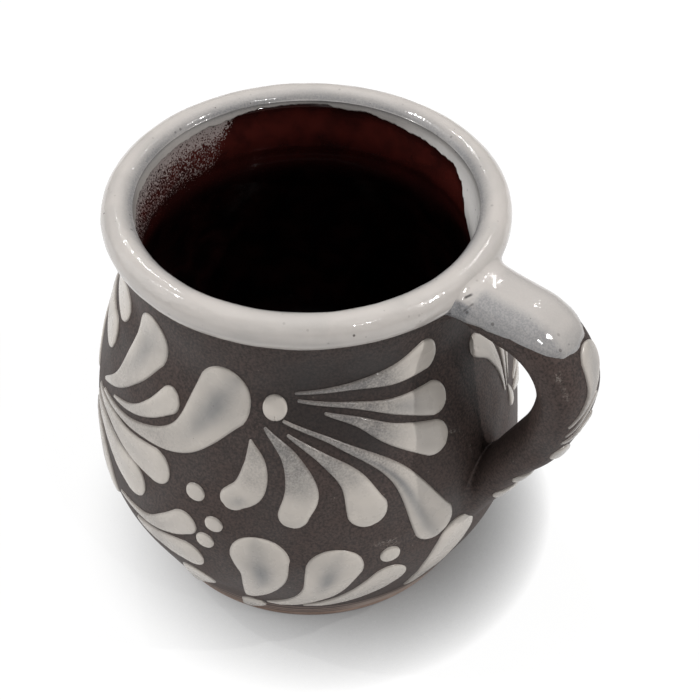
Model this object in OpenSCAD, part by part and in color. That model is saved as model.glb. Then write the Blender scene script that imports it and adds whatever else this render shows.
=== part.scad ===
// A hand-thrown clay mug with a rolled rim, a strap handle and raised slip petals.
// Sizes are in millimetres. The origin is the middle of the foot, Z is up, the handle points along X.

/* [Body] */
// Height of the mug to the top of the rim
mug_h = 86; // [82:1:94]
// Diameter of the flat foot
foot_d = 68; // [60:1:74]
// Diameter of the belly at its widest
belly_d = 89; // [84:1:98]
// Height of the widest belly
belly_z = 29; // [26:1:34]
// Radius of the curve below the widest belly
belly_curve = 32; // [24:1:40]
// Radius of the hollow curve from the shoulder into the neck
neck_curve = 16; // [10:1:22]
// How far below the middle of the rim roll the neck is narrowest
neck_low = 11.5; // [9:0.5:15]
// Thickness of the clay wall at the belly
wall_t = 3.6; // [2.8:0.1:4.6]
// Thickness of the clay wall at the neck
neck_t = 3.2; // [2.6:0.1:4.2]
// Thickness of the clay floor
floor_t = 6; // [4:0.5:8]
// Radius between floor and wall inside, as a share of the largest that fits
floor_share = 0.65; // [0.4:0.05:0.85]
// Radius of the foot's lower edge
foot_curve = 1; // [0.5:0.1:1.4]

/* [Rim] */
// Diameter of the rim through the middle of its roll
rim_d = 72; // [68:1:76]
// Thickness of the rolled rim
roll_d = 6.6; // [5.6:0.1:7.6]
// How far the white glaze runs down inside the mouth
band_h = 6; // [3:0.5:9]

/* [Handle] */
// Width of the handle strap
handle_w = 14.8; // [12:0.2:17]
// Thickness of the handle strap
handle_t = 9.8; // [8:0.2:11]
// How far the middle of the strap stands out past the belly
handle_reach = 14.3; // [12:0.1:18]
// How far the upper arm starts below the middle of the rim roll
arm_low = 1.8; // [1:0.1:3]
// Downward slope of the upper arm in degrees
arm_drop = 12; // [6:1:18]
// Radius of the tight outer bend
bend_curve = 12.4; // [10:0.2:15]
// Inward lean at the end of the tight bend in degrees
grip_lean = 5; // [2:1:9]
// How far above the widest belly the tail comes back to the wall
root_high = 4.3; // [2:0.1:7]
// How gently the grip curves into the straight tail, as a share of the whole way
tail_share = 0.25; // [0.15:0.05:0.6]
// Width of the smoothed slip collar round each handle root
collar_w = 2; // [1:0.1:3]
// Height of the slip collar on the wall
collar_t = 1.4; // [0.8:0.1:2]

/* [Coats and slip] */
// Thickness of the dark slip coat on the outside
coat_t = 0.4; // [0.3:0.05:0.6]
// Thickness of the glazes
glaze_t = 0.5; // [0.3:0.05:0.8]
// Height of the raised white slip
slip_t = 0.6; // [0.4:0.05:1]
// Width of bare clay above the foot
bare_edge = 1.8; // [1.5:0.1:2.5]
// Width of the widest petals
petal_w = 12; // [10:0.5:13]

/* [Hidden] */
$fn = 96;

// Colours of the clays and glazes
bare_colour = [0.46, 0.27, 0.20];
dark_colour = [0.30, 0.27, 0.25];
white_colour = [0.84, 0.82, 0.79];
brown_colour = [0.22, 0.09, 0.06];

// Steps along the wall, round an arc, round the strap, along a petal and round its head
wall_steps = 36;
arc_steps = 8;
roll_steps = 40;
strap_steps = 24;
bend_steps = 12;
grip_steps = 5;
petal_steps = 9;
head_steps = 6;

// Radii and heights of the turned form
foot_r = foot_d / 2;
belly_r = belly_d / 2;
rim_r = rim_d / 2;
roll_r = roll_d / 2;
rim_z = mug_h - roll_r;
mouth_r = rim_r - roll_r;
neck_r = mouth_r + neck_t;
neck_z = rim_z - neck_low;
in_t = wall_t + glaze_t;
clay_roll_r = roll_r - glaze_t;

// The flank is a straight line that touches the belly curve
foot_step = belly_r - foot_r;
flank_limit_share = 0.98;
flank_limit = flank_limit_share * (belly_z * belly_z + foot_step * foot_step) / (2 * foot_step);
low_r = min(belly_curve, flank_limit);
low_c = [belly_r - low_r, belly_z];
to_foot = [foot_r, 0] - low_c;
flank_a = atan2(to_foot.y, to_foot.x) + acos(low_r / norm(to_foot));
flank_n = [cos(flank_a), sin(flank_a)];
flank_d = [-sin(flank_a), cos(flank_a)];
flank_len = norm(low_c + low_r * flank_n - [foot_r, 0]);
low_len = low_r * rad(-flank_a);

// The shoulder curve and the neck hollow touch each other and end upright at the neck
neck_step = belly_r - neck_r;
neck_rise = neck_z - belly_z;
high_r = touching(neck_rise, neck_step) - neck_curve;
high_c = [belly_r - high_r, belly_z];
cove_c = [neck_r + neck_curve, neck_z];
high_a = atan2(cove_c.y - high_c.y, cove_c.x - high_c.x);
high_len = high_r * rad(high_a);
cove_len = neck_curve * rad(high_a);
neck_top = rim_z - under(roll_r, neck_r - rim_r);
clay_neck_top = rim_z - under(clay_roll_r, neck_r - coat_t - rim_r);
wall_run = flank_len + low_len + high_len + cove_len + neck_top - neck_z;

// The inside runs along the same curves, from the wall's thickness to the neck's
in_belly_r = belly_r - in_t;
in_cove = neck_curve + in_t;
in_step = in_belly_r - mouth_r;
in_high_r = touching(neck_rise, in_step) - in_cove;
in_high_c = [in_belly_r - in_high_r, belly_z];
in_cove_c = [mouth_r + in_cove, neck_z];
in_high_a = atan2(in_cove_c.y - in_high_c.y, in_cove_c.x - in_high_c.x);
in_floor = floor_t + glaze_t;
floor_room = (belly_z - in_floor + (low_r - in_t) * sin(flank_a)) / (1 + sin(flank_a));
floor_curve = floor_share * floor_room;
floor_c = corner(floor_curve, in_floor, in_t);
foot_c = corner(foot_curve, 0, 0);
band_z = rim_z - band_h;

// The handle's middle line: arm, bend, grip and tail
arm_p = [rim_r, rim_z - arm_low];
arm_run = belly_r + handle_reach - bend_curve * (1 - sin(arm_drop)) - rim_r;
arm_len = arm_run / cos(arm_drop);
arm_end = arm_p + arm_len * [cos(arm_drop), -sin(arm_drop)];
bend_c = arm_end - bend_curve * [sin(arm_drop), cos(arm_drop)];
grip_p = bend_c + bend_curve * dir(-grip_lean);
root_p = [belly_r, belly_z + root_high];
to_root = grip_p - root_p;
root_lean = atan2(to_root.x, to_root.y);
tail_lean = root_lean + tail_share * (root_lean - grip_lean);
grip_turn_a = tail_lean - grip_lean;
grip_half = norm(to_root) * sin(tail_lean - root_lean) / sin(grip_turn_a);
grip_curve = grip_half / tan(grip_turn_a / 2);
grip_c = grip_p - grip_curve * dir(-grip_lean);
tail_p = grip_c + grip_curve * dir(-tail_lean);
tail_len = norm(tail_p - root_p) + handle_t / sin(tail_lean);
tail_low = tail_p - tail_len * dir(90 - tail_lean);
bend_top_a = 90 - arm_drop;
half_w = handle_w / 2;
half_t = handle_t / 2;

// Steps of the strap's section to each side under the glaze and the strokes, and the glaze's last stop
glaze_side_steps = 5;
stroke_side_steps = 6;
glaze_steps = 7;

// Clearance of petals from the handle's collars, and half the angle of wall that a petal is cut from
collar_gap = slip_t;
patch_angle = 55;

// Petals: four places from tail to head, each an angle round the mug in degrees,
// a share of the wall's run and a half width as a share of the widest petal.
front_spray_shares = [
    [[-57.3, 0.859, 0.02], [-41, 0.868, 0.06], [-27.5, 0.872, 0.165], [-17.6, 0.891, 0.275]],
    [[-56.5, 0.84, 0.025], [-41, 0.82, 0.05], [-29, 0.793, 0.12], [-17, 0.773, 0.275]],
    [[-49, 0.808, 0.025], [-40, 0.778, 0.075], [-31, 0.728, 0.165], [-19.2, 0.676, 0.295]],
    [[-60.6, 0.789, 0.025], [-46.3, 0.732, 0.05], [-30.7, 0.622, 0.142], [-20.8, 0.432, 0.365]],
    [[-59.3, 0.755, 0.025], [-50.5, 0.699, 0.08], [-43, 0.631, 0.185], [-39.3, 0.541, 0.325]],
    [[-65.6, 0.767, 0.025], [-58.8, 0.696, 0.125], [-55.8, 0.607, 0.255], [-57.8, 0.541, 0.235]],
    [[-69.4, 0.731, 0.025], [-67.9, 0.667, 0.18], [-69.3, 0.601, 0.24], [-73.3, 0.566, 0.21]]
];
left_fan_shares = [
    [[-127, 0.623, 0.033], [-118, 0.686, 0.135], [-111.8, 0.772, 0.33], [-107.4, 0.855, 0.485]],
    [[-119, 0.626, 0.025], [-109, 0.658, 0.07], [-101.6, 0.701, 0.14], [-95.6, 0.753, 0.225]],
    [[-126.5, 0.59, 0.033], [-105.6, 0.623, 0.09], [-89.6, 0.68, 0.265], [-79, 0.814, 0.55]],
    [[-131.4, 0.569, 0.04], [-120, 0.569, 0.115], [-109.6, 0.558, 0.21], [-97.6, 0.559, 0.325]],
    [[-132.2, 0.539, 0.05], [-121, 0.505, 0.18], [-113, 0.477, 0.29], [-107, 0.464, 0.36]],
    [[-134, 0.504, 0.04], [-129, 0.443, 0.165], [-125, 0.382, 0.27], [-122.5, 0.322, 0.275]]
];
left_spray_shares = [
    [[-165, 0.833, 0.025], [-152, 0.843, 0.075], [-140, 0.852, 0.185], [-127.6, 0.854, 0.315]],
    [[-163, 0.783, 0.025], [-152, 0.774, 0.085], [-141, 0.761, 0.185], [-131, 0.748, 0.29]],
    [[-169, 0.755, 0.025], [-160, 0.704, 0.15], [-152.4, 0.636, 0.24], [-149.3, 0.541, 0.325]],
    [[-175.6, 0.767, 0.025], [-168, 0.698, 0.2], [-165.8, 0.607, 0.275], [-167.8, 0.541, 0.235]]
];
handle_fan_shares = [
    [[14.2, 0.612, 0.025], [12.7, 0.695, 0.075], [9.7, 0.77, 0.165], [4.5, 0.811, 0.185]],
    [[15.9, 0.613, 0.02], [16.4, 0.66, 0.045], [17, 0.71, 0.075], [17.5, 0.752, 0.1]],
    [[18.2, 0.62, 0.02], [19.3, 0.663, 0.045], [21, 0.708, 0.075], [22.8, 0.743, 0.11]],
    [[17.6, 0.597, 0.025], [18.2, 0.58, 0.06], [18.8, 0.561, 0.09], [19.4, 0.541, 0.11]]
];
foot_petals_shares = [
    [[-114, 0.347, 0.033], [-101, 0.359, 0.085], [-93, 0.396, 0.185], [-87.8, 0.432, 0.235]],
    [[-106, 0.316, 0.05], [-98, 0.314, 0.165], [-93, 0.316, 0.24], [-87.3, 0.32, 0.285]],
    [[-97, 0.051, 0.033], [-94.5, 0.091, 0.125], [-91.5, 0.14, 0.25], [-88, 0.192, 0.335]],
    [[-77, 0.046, 0.04], [-75, 0.064, 0.14], [-73.4, 0.083, 0.21], [-72, 0.097, 0.215]],
    [[-72.7, 0.167, 0.033], [-68.9, 0.238, 0.225], [-66.3, 0.316, 0.375], [-66.8, 0.386, 0.485]],
    [[-67, 0.132, 0.033], [-58.5, 0.167, 0.16], [-51.5, 0.249, 0.31], [-47.8, 0.356, 0.465]],
    [[-56, 0.132, 0.033], [-47, 0.163, 0.135], [-39.5, 0.215, 0.265], [-33.3, 0.278, 0.32]],
    [[-24, 0.133, 0.033], [-20.5, 0.194, 0.2], [-17, 0.261, 0.335], [-12.8, 0.331, 0.4]]
];

// Dots: an angle, a share of the wall's run and a radius as a share of the widest petal
dots_shares = [
    [-63.2, 0.82, 0.225], [-84, 0.547, 0.175], [-78.7, 0.468, 0.16], [-81.4, 0.403, 0.165],
    [-33.4, 0.376, 0.175], [-173.2, 0.82, 0.225], [66, 0.547, 0.175], [71.3, 0.48, 0.16],
    [76.5, 0.435, 0.165], [104, 0.385, 0.175], [86.8, 0.82, 0.225], [178, 0.47, 0.175],
    [170, 0.4, 0.165]
];

// Strokes on the handle's outer face: a share of the strap's width across,
// a share of the height from tail to bend and a half width as a share of the strap's width
handle_strokes_shares = [
    [[-0.35, 0.76, 0.02], [-0.19, 0.79, 0.04], [0.02, 0.842, 0.085], [0.165, 0.922, 0.215]],
    [[-0.35, 0.719, 0.015], [-0.22, 0.738, 0.03], [-0.06, 0.768, 0.04], [0.12, 0.812, 0.05]],
    [[-0.36, 0.688, 0.02], [-0.24, 0.69, 0.04], [-0.08, 0.7, 0.055], [0.12, 0.725, 0.06]],
    [[0.14, 0.56, 0.02], [0.02, 0.58, 0.05], [-0.14, 0.604, 0.085], [-0.28, 0.626, 0.11]],
    [[0.14, 0.43, 0.02], [0, 0.436, 0.045], [-0.19, 0.452, 0.08], [-0.345, 0.468, 0.1]],
    [[0.12, 0.342, 0.02], [-0.02, 0.348, 0.05], [-0.19, 0.357, 0.095], [-0.32, 0.364, 0.13]]
];

// Angles in degrees that turn the motifs round to the unseen side
handle_fan_angle = 156;
back_spray_angle = 150;
back_fan_angle = -92;
back_foot_angles = [130, 250];

function rad(a) = a * PI / 180;

function deg(a) = a * 180 / PI;

function dir(a) = [cos(a), sin(a)];

// Sum of two radii that touch and shift sideways by a step over a rise
function touching(rise, step) = (rise * rise + step * step) / (2 * step);

// Drop of a circle below its middle at a distance from it
function under(radius, away) = sqrt(radius * radius - away * away);

// Middle of a rounded corner between a level face and the flank set in by a wall
function corner(radius, level, wall) =
    let (z = level + radius)
    [foot_r - (wall + radius + z * sin(flank_a)) / cos(flank_a), z];

function arc(middle, radius, from, to, steps) =
    [for (i = [0 : steps]) middle + radius * dir(from + (to - from) * i / steps)];

// A place on the outside at a run up the wall from the foot, moved out square to the wall
function wall_pt(run, out) =
    let (
        on_low = run - flank_len,
        on_high = on_low - low_len,
        on_cove = on_high - high_len,
        on_neck = on_cove - cove_len
    )
    on_low <= 0 ? [foot_r, 0] + run * flank_d + out * flank_n
    : on_high <= 0 ? low_c + (low_r + out) * dir(flank_a + deg(on_low / low_r))
    : on_cove <= 0 ? high_c + (high_r + out) * dir(deg(on_high / high_r))
    : on_neck <= 0 ? cove_c - (neck_curve - out) * dir(high_a - deg(on_cove / neck_curve))
    : [neck_r + out, neck_z + on_neck];

function wall_stop(i) = bare_edge + (wall_run - bare_edge) * i / wall_steps;

function wall_line(from, to, out) = [for (i = [from : to]) wall_pt(wall_stop(i), out)];

function flip(points) = [for (i = [len(points) - 1 : -1 : 0]) points[i]];

// The roll from under the neck round the outside and over to the mouth
function roll_line(radius, neck) =
    arc([rim_r, rim_z], radius, -acos((neck - rim_r) / radius), 180, roll_steps);

// The inside from the middle of the floor up to the mouth, set back by a coat
function inner_line(back) = concat(
    [[0, in_floor - back]],
    arc(floor_c, floor_curve + back, -90, flank_a, arc_steps),
    arc(low_c, low_r - in_t + back, flank_a, 0, arc_steps),
    arc(in_high_c, in_high_r + back, 0, in_high_a, arc_steps),
    arc(in_cove_c, in_cove - back, 180 + in_high_a, 180, arc_steps)
);

function foot_line() = concat(
    [[0, 0]],
    arc(foot_c, foot_curve, -90, flank_a, arc_steps),
    [wall_pt(bare_edge, 0)]
);

function clay_outline() = concat(
    foot_line(),
    wall_line(0, wall_steps, -coat_t),
    roll_line(clay_roll_r, neck_r - coat_t)
);

// The whole outside, grown by a coat and filled in to the axis
module filled(out) {
    roll_a = acos((neck_r - rim_r) / roll_r);
    rotate_extrude() {
        polygon(concat(
            [[0, 0], [wall_pt(bare_edge, out).x, 0]],
            wall_line(0, wall_steps, out),
            [[0, neck_top]]
        ));
        polygon(concat(
            arc([rim_r, rim_z], roll_r + out, -roll_a, 180, roll_steps),
            [[0, rim_z], [0, rim_z - roll_r - out]]
        ));
    }
}

// The bare clay filled in to the axis
module filled_clay() {
    rotate_extrude()
        polygon(concat(clay_outline(), [[0, rim_z]]));
}

// Section of the strap: away from the bend's middle, then across
function strap(grow) =
    [for (i = [0 : strap_steps - 1])
        let (a = 360 * i / strap_steps)
        [(half_t + grow) * cos(a), (half_w + grow) * sin(a)]];

// Section of a collar, which grows beside the strap and towards the finger gap but not outward
function strap_inside(grow) =
    [for (q = strap(0)) [q.x < 0 ? q.x * (half_t + grow) / half_t : q.x, q.y * (half_w + grow) / half_w]];

// Part of a coat round the strap's outer side
function strap_coat(grow, side) = concat(
    [for (i = [-side : side])
        let (a = 360 * i / strap_steps)
        [(half_t + grow) * cos(a), (half_w + grow) * sin(a)]],
    [for (i = [side : -1 : -side])
        let (a = 360 * i / strap_steps)
        [half_t * cos(a), half_w * sin(a)]]
);

// Stops along the middle line, each with a place and the angle that faces away from the bend
function arc_stops(middle, radius, from, to, first, steps) =
    [for (i = [first : steps])
        let (a = from + (to - from) * i / steps)
        [middle + radius * dir(a), a]];

strap_stops = concat(
    [[arm_p, bend_top_a]],
    arc_stops(bend_c, bend_curve, bend_top_a, -grip_lean, 0, bend_steps),
    arc_stops(grip_c, grip_curve, -grip_lean, -tail_lean, 1, grip_steps),
    [[tail_low, -tail_lean]]
);

// A closed skin over one section carried along the stops
module skin(stops, section) {
    n = len(section);
    m = len(stops);
    points = [for (s = stops, q = section)
        [s[0].x + q.x * cos(s[1]), q.y, s[0].y + q.x * sin(s[1])]];
    sides = [for (i = [0 : m - 2], k = [0 : n - 1])
        let (a = i * n + k, b = i * n + (k + 1) % n)
        each [[a, b, b + n], [a, b + n, a + n]]];
    polyhedron(
        points,
        concat([[for (k = [n - 1 : -1 : 0]) k]], sides, [[for (k = [0 : n - 1]) (m - 1) * n + k]])
    );
}

module strap_sweep(grow) {
    skin(strap_stops, strap(grow));
}

// A straight stretch of strap from a place along a heading
module strap_run(place, heading, length, section) {
    translate([place.x, 0, place.y])
        rotate([0, 90 - heading, 0])
        linear_extrude(height = length)
        mirror([1, 0])
        polygon(section);
}

// Room that the handle and its collars take on the wall
module handle_room() {
    strap_run(arm_p, -arm_drop, arm_len, strap(collar_w + collar_gap));
    strap_run(tail_p, -90 - tail_lean, tail_len, strap(collar_w + collar_gap));
}

// Slip wiped round the handle's root at the rim
module rim_collar() {
    intersection() {
        strap_run(arm_p, -arm_drop, arm_len, strap_inside(collar_w));
        filled(collar_t);
    }
}

// Slip wiped round the handle's root on the belly
module belly_collar() {
    intersection() {
        strap_run(tail_p, -90 - tail_lean, tail_len, strap_inside(collar_w));
        filled(collar_t);
    }
}

// A smooth line through four places, from 0 at the first to 3 at the last
function through(p, t) =
    let (
        i = min(floor(t), 2),
        f = t - i,
        a = i > 0 ? p[i - 1] : 2 * p[0] - p[1],
        b = p[i],
        c = p[i + 1],
        d = i < 2 ? p[i + 2] : 2 * p[3] - p[2]
    )
    (2 * b + (c - a) * f + (2 * a - 5 * b + 4 * c - d) * f * f + (3 * b - a - 3 * c + d) * f * f * f) / 2;

function heading_at(p, t) =
    let (
        d = through(p, min(t + 1 / petal_steps, 3)) - through(p, max(t - 1 / petal_steps, 0))
    )
    atan2(d.y, d.x);

// Outline of a petal from places that each hold a position and a half width
function petal_outline(p) =
    let (
        last = heading_at(p, 3),
        sides = [for (i = [0 : petal_steps - 1])
            let (t = 3 * i / petal_steps)
            [through(p, t), heading_at(p, t)]]
    )
    concat(
        [for (s = sides) [s[0].x, s[0].y] + s[0].z * dir(s[1] - 90)],
        [for (i = [0 : head_steps]) [p[3].x, p[3].y] + p[3].z * dir(last - 90 + 180 * i / head_steps)],
        [for (s = flip(sides)) [s[0].x, s[0].y] + s[0].z * dir(s[1] + 90)]
    );

// Places of a table row on the wall, unrolled at the belly
function on_wall(row) =
    [for (q = row) [rad(q[0]) * belly_r, q[1] * wall_run, q[2] * petal_w]];

// An unrolled outline seen from straight outside at an angle
function seen(outline, from) =
    [for (q = outline)
        let (w = wall_pt(q.y, 0))
        [w.x * sin(deg(q.x / belly_r) - from), w.y]];

// Raised slip inside an unrolled outline
module slip(outline, from) {
    runs = [for (q = outline) q.y];
    per = (wall_run - bare_edge) / wall_steps;
    first = max(floor((min(runs) - bare_edge) / per) - 1, 0);
    last = min(ceil((max(runs) - bare_edge) / per) + 1, wall_steps);
    intersection() {
        rotate([0, 0, from - patch_angle])
            rotate_extrude(angle = 2 * patch_angle)
            polygon(concat(wall_line(first, last, slip_t), flip(wall_line(first, last, 0))));
        rotate([0, 0, from])
            translate([mouth_r / 2, 0, 0])
            rotate([90, 0, 90])
            linear_extrude(height = belly_r)
            polygon(seen(outline, from));
    }
}

module petals(table, turn) {
    for (row = table)
        rotate([0, 0, turn])
            slip(petal_outline(on_wall(row)), (row[0][0] + row[3][0]) / 2);
}

module clay_body() {
    color(bare_colour)
        rotate_extrude()
        polygon(concat(clay_outline(), flip(inner_line(glaze_t))));
}

module outer_coat() {
    color(dark_colour)
        difference() {
            rotate_extrude()
                polygon(concat(
                    wall_line(0, wall_steps, 0),
                    [[neck_r - coat_t, clay_neck_top]],
                    flip(wall_line(0, wall_steps, -coat_t))
                ));
            strap_sweep(0);
        }
}

module inner_glaze() {
    color(brown_colour)
        rotate_extrude()
        polygon(concat(
            inner_line(glaze_t),
            [[mouth_r + glaze_t, band_z], [mouth_r, band_z]],
            flip(inner_line(0))
        ));
}

module rim_glaze() {
    color(white_colour)
        difference() {
            rotate_extrude()
                polygon(concat(
                    roll_line(roll_r, neck_r),
                    [[mouth_r, band_z], [mouth_r + glaze_t, band_z]],
                    flip(roll_line(clay_roll_r, neck_r - coat_t))
                ));
            strap_sweep(0);
        }
}

module handle() {
    color(dark_colour)
        difference() {
            strap_sweep(0);
            filled_clay();
        }
}

module handle_glaze() {
    color(white_colour)
        difference() {
            skin([for (i = [0 : glaze_steps]) strap_stops[i]], strap_coat(glaze_t, glaze_side_steps));
            filled(0);
            rim_collar();
        }
}

module upper_joint() {
    color(white_colour)
        difference() {
            rim_collar();
            filled(0);
            strap_sweep(0);
        }
}

module lower_joint() {
    color(dark_colour)
        difference() {
            belly_collar();
            filled(0);
            strap_sweep(0);
        }
}

module front_spray() {
    color(white_colour)
        difference() {
            petals(front_spray_shares, 0);
            handle_room();
        }
}

module left_fan() {
    color(white_colour)
        petals(left_fan_shares, 0);
}

module left_spray() {
    color(white_colour)
        petals(left_spray_shares, 0);
}

module handle_fan() {
    color(white_colour)
        difference() {
            union() {
                petals(handle_fan_shares, 0);
                petals([for (i = [0, 1, 3, 4]) left_fan_shares[i]], handle_fan_angle);
            }
            handle_room();
        }
}

module back_spray() {
    color(white_colour)
        petals(front_spray_shares, back_spray_angle);
}

module back_fan() {
    color(white_colour)
        petals([for (i = [0, 1, 3, 4]) left_fan_shares[i]], back_fan_angle);
}

module foot_petals() {
    color(white_colour)
        difference() {
            petals(foot_petals_shares, 0);
            handle_room();
        }
}

module back_foot_petals() {
    color(white_colour) {
        petals([for (i = [1 : 7]) foot_petals_shares[i]], back_foot_angles[0]);
        petals([for (i = [1 : 6]) foot_petals_shares[i]], back_foot_angles[1]);
    }
}

module dots() {
    color(white_colour)
        for (d = dots_shares)
            slip(
                arc([rad(d[0]) * belly_r, d[1] * wall_run], d[2] * petal_w, 0, 330, 11),
                d[0]
            );
}

// The strokes lie on the strap's outer face
module handle_strokes() {
    span = arm_end.y - tail_low.y;
    color(white_colour)
        difference() {
            intersection() {
                skin(strap_stops, strap_coat(slip_t, stroke_side_steps));
                for (row = handle_strokes_shares)
                    translate([neck_r, 0, 0])
                        rotate([90, 0, 90])
                        linear_extrude(height = arm_len + bend_curve + handle_t)
                        polygon(petal_outline(
                            [for (q = row) [q[0] * handle_w, tail_low.y + q[1] * span, q[2] * handle_w]]
                        ));
            }
            filled(collar_t);
        }
}

clay_body();
outer_coat();
inner_glaze();
rim_glaze();
handle();
handle_glaze();
upper_joint();
lower_joint();
front_spray();
left_fan();
left_spray();
handle_fan();
back_spray();
back_fan();
foot_petals();
back_foot_petals();
dots();
handle_strokes();
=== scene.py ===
# %% [markdown]
# This lesson dresses a hand-thrown clay mug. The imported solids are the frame: they fix how big the
# mug is and where every piece sits. Solids have hard edges and even coats, and fired clay has neither.
# So each solid is replaced by a piece with soft edges, ragged glaze and domed slip, in the same place.

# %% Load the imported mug
import bmesh
import bpy
import math
import numpy as np
from mathutils import Matrix, Vector, noise


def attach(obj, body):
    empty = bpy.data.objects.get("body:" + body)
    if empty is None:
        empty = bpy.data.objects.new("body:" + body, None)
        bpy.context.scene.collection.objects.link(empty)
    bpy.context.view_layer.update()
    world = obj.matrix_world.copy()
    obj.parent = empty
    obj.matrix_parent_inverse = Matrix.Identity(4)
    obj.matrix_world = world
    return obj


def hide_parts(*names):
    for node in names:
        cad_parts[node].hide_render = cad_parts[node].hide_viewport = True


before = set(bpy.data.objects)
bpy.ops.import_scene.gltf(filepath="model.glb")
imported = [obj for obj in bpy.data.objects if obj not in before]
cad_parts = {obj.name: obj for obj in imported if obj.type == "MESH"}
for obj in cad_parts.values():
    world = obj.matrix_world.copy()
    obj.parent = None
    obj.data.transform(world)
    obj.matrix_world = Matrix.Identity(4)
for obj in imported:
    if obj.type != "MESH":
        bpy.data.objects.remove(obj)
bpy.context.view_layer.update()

# %% [markdown]
# The camera comes first, because every later choice is judged through it. It looks down on the rim
# from a little right of the front, through a long lens. A Track To constraint could aim it, but leaves no
# room for the small roll of the picture, so its matrix is written out. The target and the roll come
# from matching the rim, the foot and the handle.

# %% Camera
MM = 0.001
film_mm, picture_px, focal_px = 36, 700, 1600
view_away, aim_side, aim_high = 332.35 * MM, 8.44 * MM, 44.95 * MM
view_az, view_el, view_roll = math.radians(34.8), math.radians(42.83), math.radians(0.366)
view_side = Vector((math.cos(view_az), math.sin(view_az), 0))
view_flat = Vector((math.sin(view_az), -math.cos(view_az), 0))
view_back = view_flat * math.cos(view_el) + Vector((0, 0, math.sin(view_el)))
view_up = view_back.cross(view_side)
target = view_side * aim_side + Vector((0, 0, aim_high))
rolled_side = view_side * math.cos(view_roll) + view_up * math.sin(view_roll)
rolled_up = view_up * math.cos(view_roll) - view_side * math.sin(view_roll)

lens = bpy.data.cameras.new("camera")
lens.sensor_width = film_mm
lens.lens = film_mm * focal_px / picture_px
lens.clip_start = 0.01
camera = bpy.data.objects.new("camera", lens)
turn = Matrix((rolled_side, rolled_up, view_back)).transposed().to_4x4()
camera.matrix_world = Matrix.Translation(target + view_back * view_away) @ turn
bpy.context.scene.collection.objects.link(camera)
bpy.context.scene.camera = camera
bpy.context.scene.view_settings.view_transform = "Standard"
print("lens in mm:", round(lens.lens, 1))

# %% [markdown]
# The wall of the mug is a chain of simple curves: a straight flank from the foot, a round belly, a
# shoulder and a hollow neck under a rolled rim. Slip and coats all follow that wall, so it is
# written once as a function. It takes a run, which is the way up the wall from the foot, and a
# distance out from it. All sizes in this lesson are millimetres until a mesh is made.

# %% The wall
mug_h, foot_r, belly_r, belly_z = 86.0, 34.0, 44.5, 29.0
belly_curve, neck_curve, neck_low = 32.0, 16.0, 11.5
wall_t, neck_t, floor_t, floor_share = 3.6, 3.2, 6.0, 0.65
rim_r, roll_r = 36.0, 3.3
coat_t, glaze_t, slip_t, bare_edge, petal_w = 0.4, 0.5, 0.6, 1.8, 12.0
rim_z = mug_h - roll_r
mouth_r = rim_r - roll_r
neck_r = mouth_r + neck_t
neck_z = rim_z - neck_low
in_t = wall_t + glaze_t


def touching(rise, step):
    """Sum of two radii that touch and shift sideways by a step over a rise."""
    return (rise * rise + step * step) / (2 * step)


low_c = (belly_r - belly_curve, belly_z)
foot_gap = math.hypot(foot_r - low_c[0], low_c[1])
flank_a = math.atan2(-low_c[1], foot_r - low_c[0]) + math.acos(belly_curve / foot_gap)
flank_len = math.sqrt(foot_gap ** 2 - belly_curve ** 2)
low_len = -belly_curve * flank_a
high_r = touching(neck_z - belly_z, belly_r - neck_r) - neck_curve
high_c = (belly_r - high_r, belly_z)
high_a = math.atan2(neck_z - high_c[1], neck_r + neck_curve - high_c[0])
high_len, cove_len = high_r * high_a, neck_curve * high_a
neck_top = rim_z - math.sqrt(roll_r ** 2 - (neck_r - rim_r) ** 2)
wall_run = flank_len + low_len + high_len + cove_len + neck_top - neck_z


def wall_at(run, out=0.0):
    """Radius and height of a place at a run up the wall, moved out square to the wall."""
    on = run - flank_len
    if on <= 0:
        c, s = math.cos(flank_a), math.sin(flank_a)
        return foot_r - run * s + out * c, run * c + out * s
    if on <= low_len:
        a = flank_a + on / belly_curve
        return low_c[0] + (belly_curve + out) * math.cos(a), low_c[1] + (belly_curve + out) * math.sin(a)
    on -= low_len
    if on <= high_len:
        a = on / high_r
        return high_c[0] + (high_r + out) * math.cos(a), high_c[1] + (high_r + out) * math.sin(a)
    on -= high_len
    if on <= cove_len:
        a = high_a - on / neck_curve
        return (neck_r + neck_curve - (neck_curve - out) * math.cos(a),
                neck_z - (neck_curve - out) * math.sin(a))
    return neck_r + out, neck_z + on - cove_len


print("run up the wall in mm:", round(wall_run, 2))

# %% [markdown]
# A thrown pot is a line turned round an axis, but never a perfect one. A lathe modifier would give a
# perfect one, so this helper asks a function for radius and height at every angle and row. The
# ragged end of a glaze or the faint rings of the potter's fingers can then depend on both.

# %% Helpers for turned pieces


def smooth(t):
    """Soft step from 0 to 1."""
    t = min(max(t, 0.0), 1.0)
    return t * t * (3 - 2 * t)


def ripple(a, run, size, seed):
    """Smooth noise between about -1 and 1 that closes on itself round the pot."""
    spot = Vector((40 * math.cos(a), 40 * math.sin(a), run)) / size
    return noise.noise(spot + Vector((seed * 7.3, seed * 3.1, seed * 5.7)))


def finished_mesh(name, verts, faces, weld=False, z_unit=MM):
    """A plain object at the origin, drawn in mm and kept in metres, with its faces turned outwards."""
    mesh = bpy.data.meshes.new(name)
    mesh.from_pydata(verts, [], faces)
    bm = bmesh.new()
    bm.from_mesh(mesh)
    if weld:
        bmesh.ops.remove_doubles(bm, verts=bm.verts, dist=0.0001)
    bmesh.ops.recalc_face_normals(bm, faces=bm.faces)
    bm.to_mesh(mesh)
    bm.free()
    mesh.transform(Matrix.Diagonal((MM, MM, z_unit, 1)))
    mesh.shade_smooth()
    piece = bpy.data.objects.new(name, mesh)
    bpy.context.scene.collection.objects.link(piece)
    return piece


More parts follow.
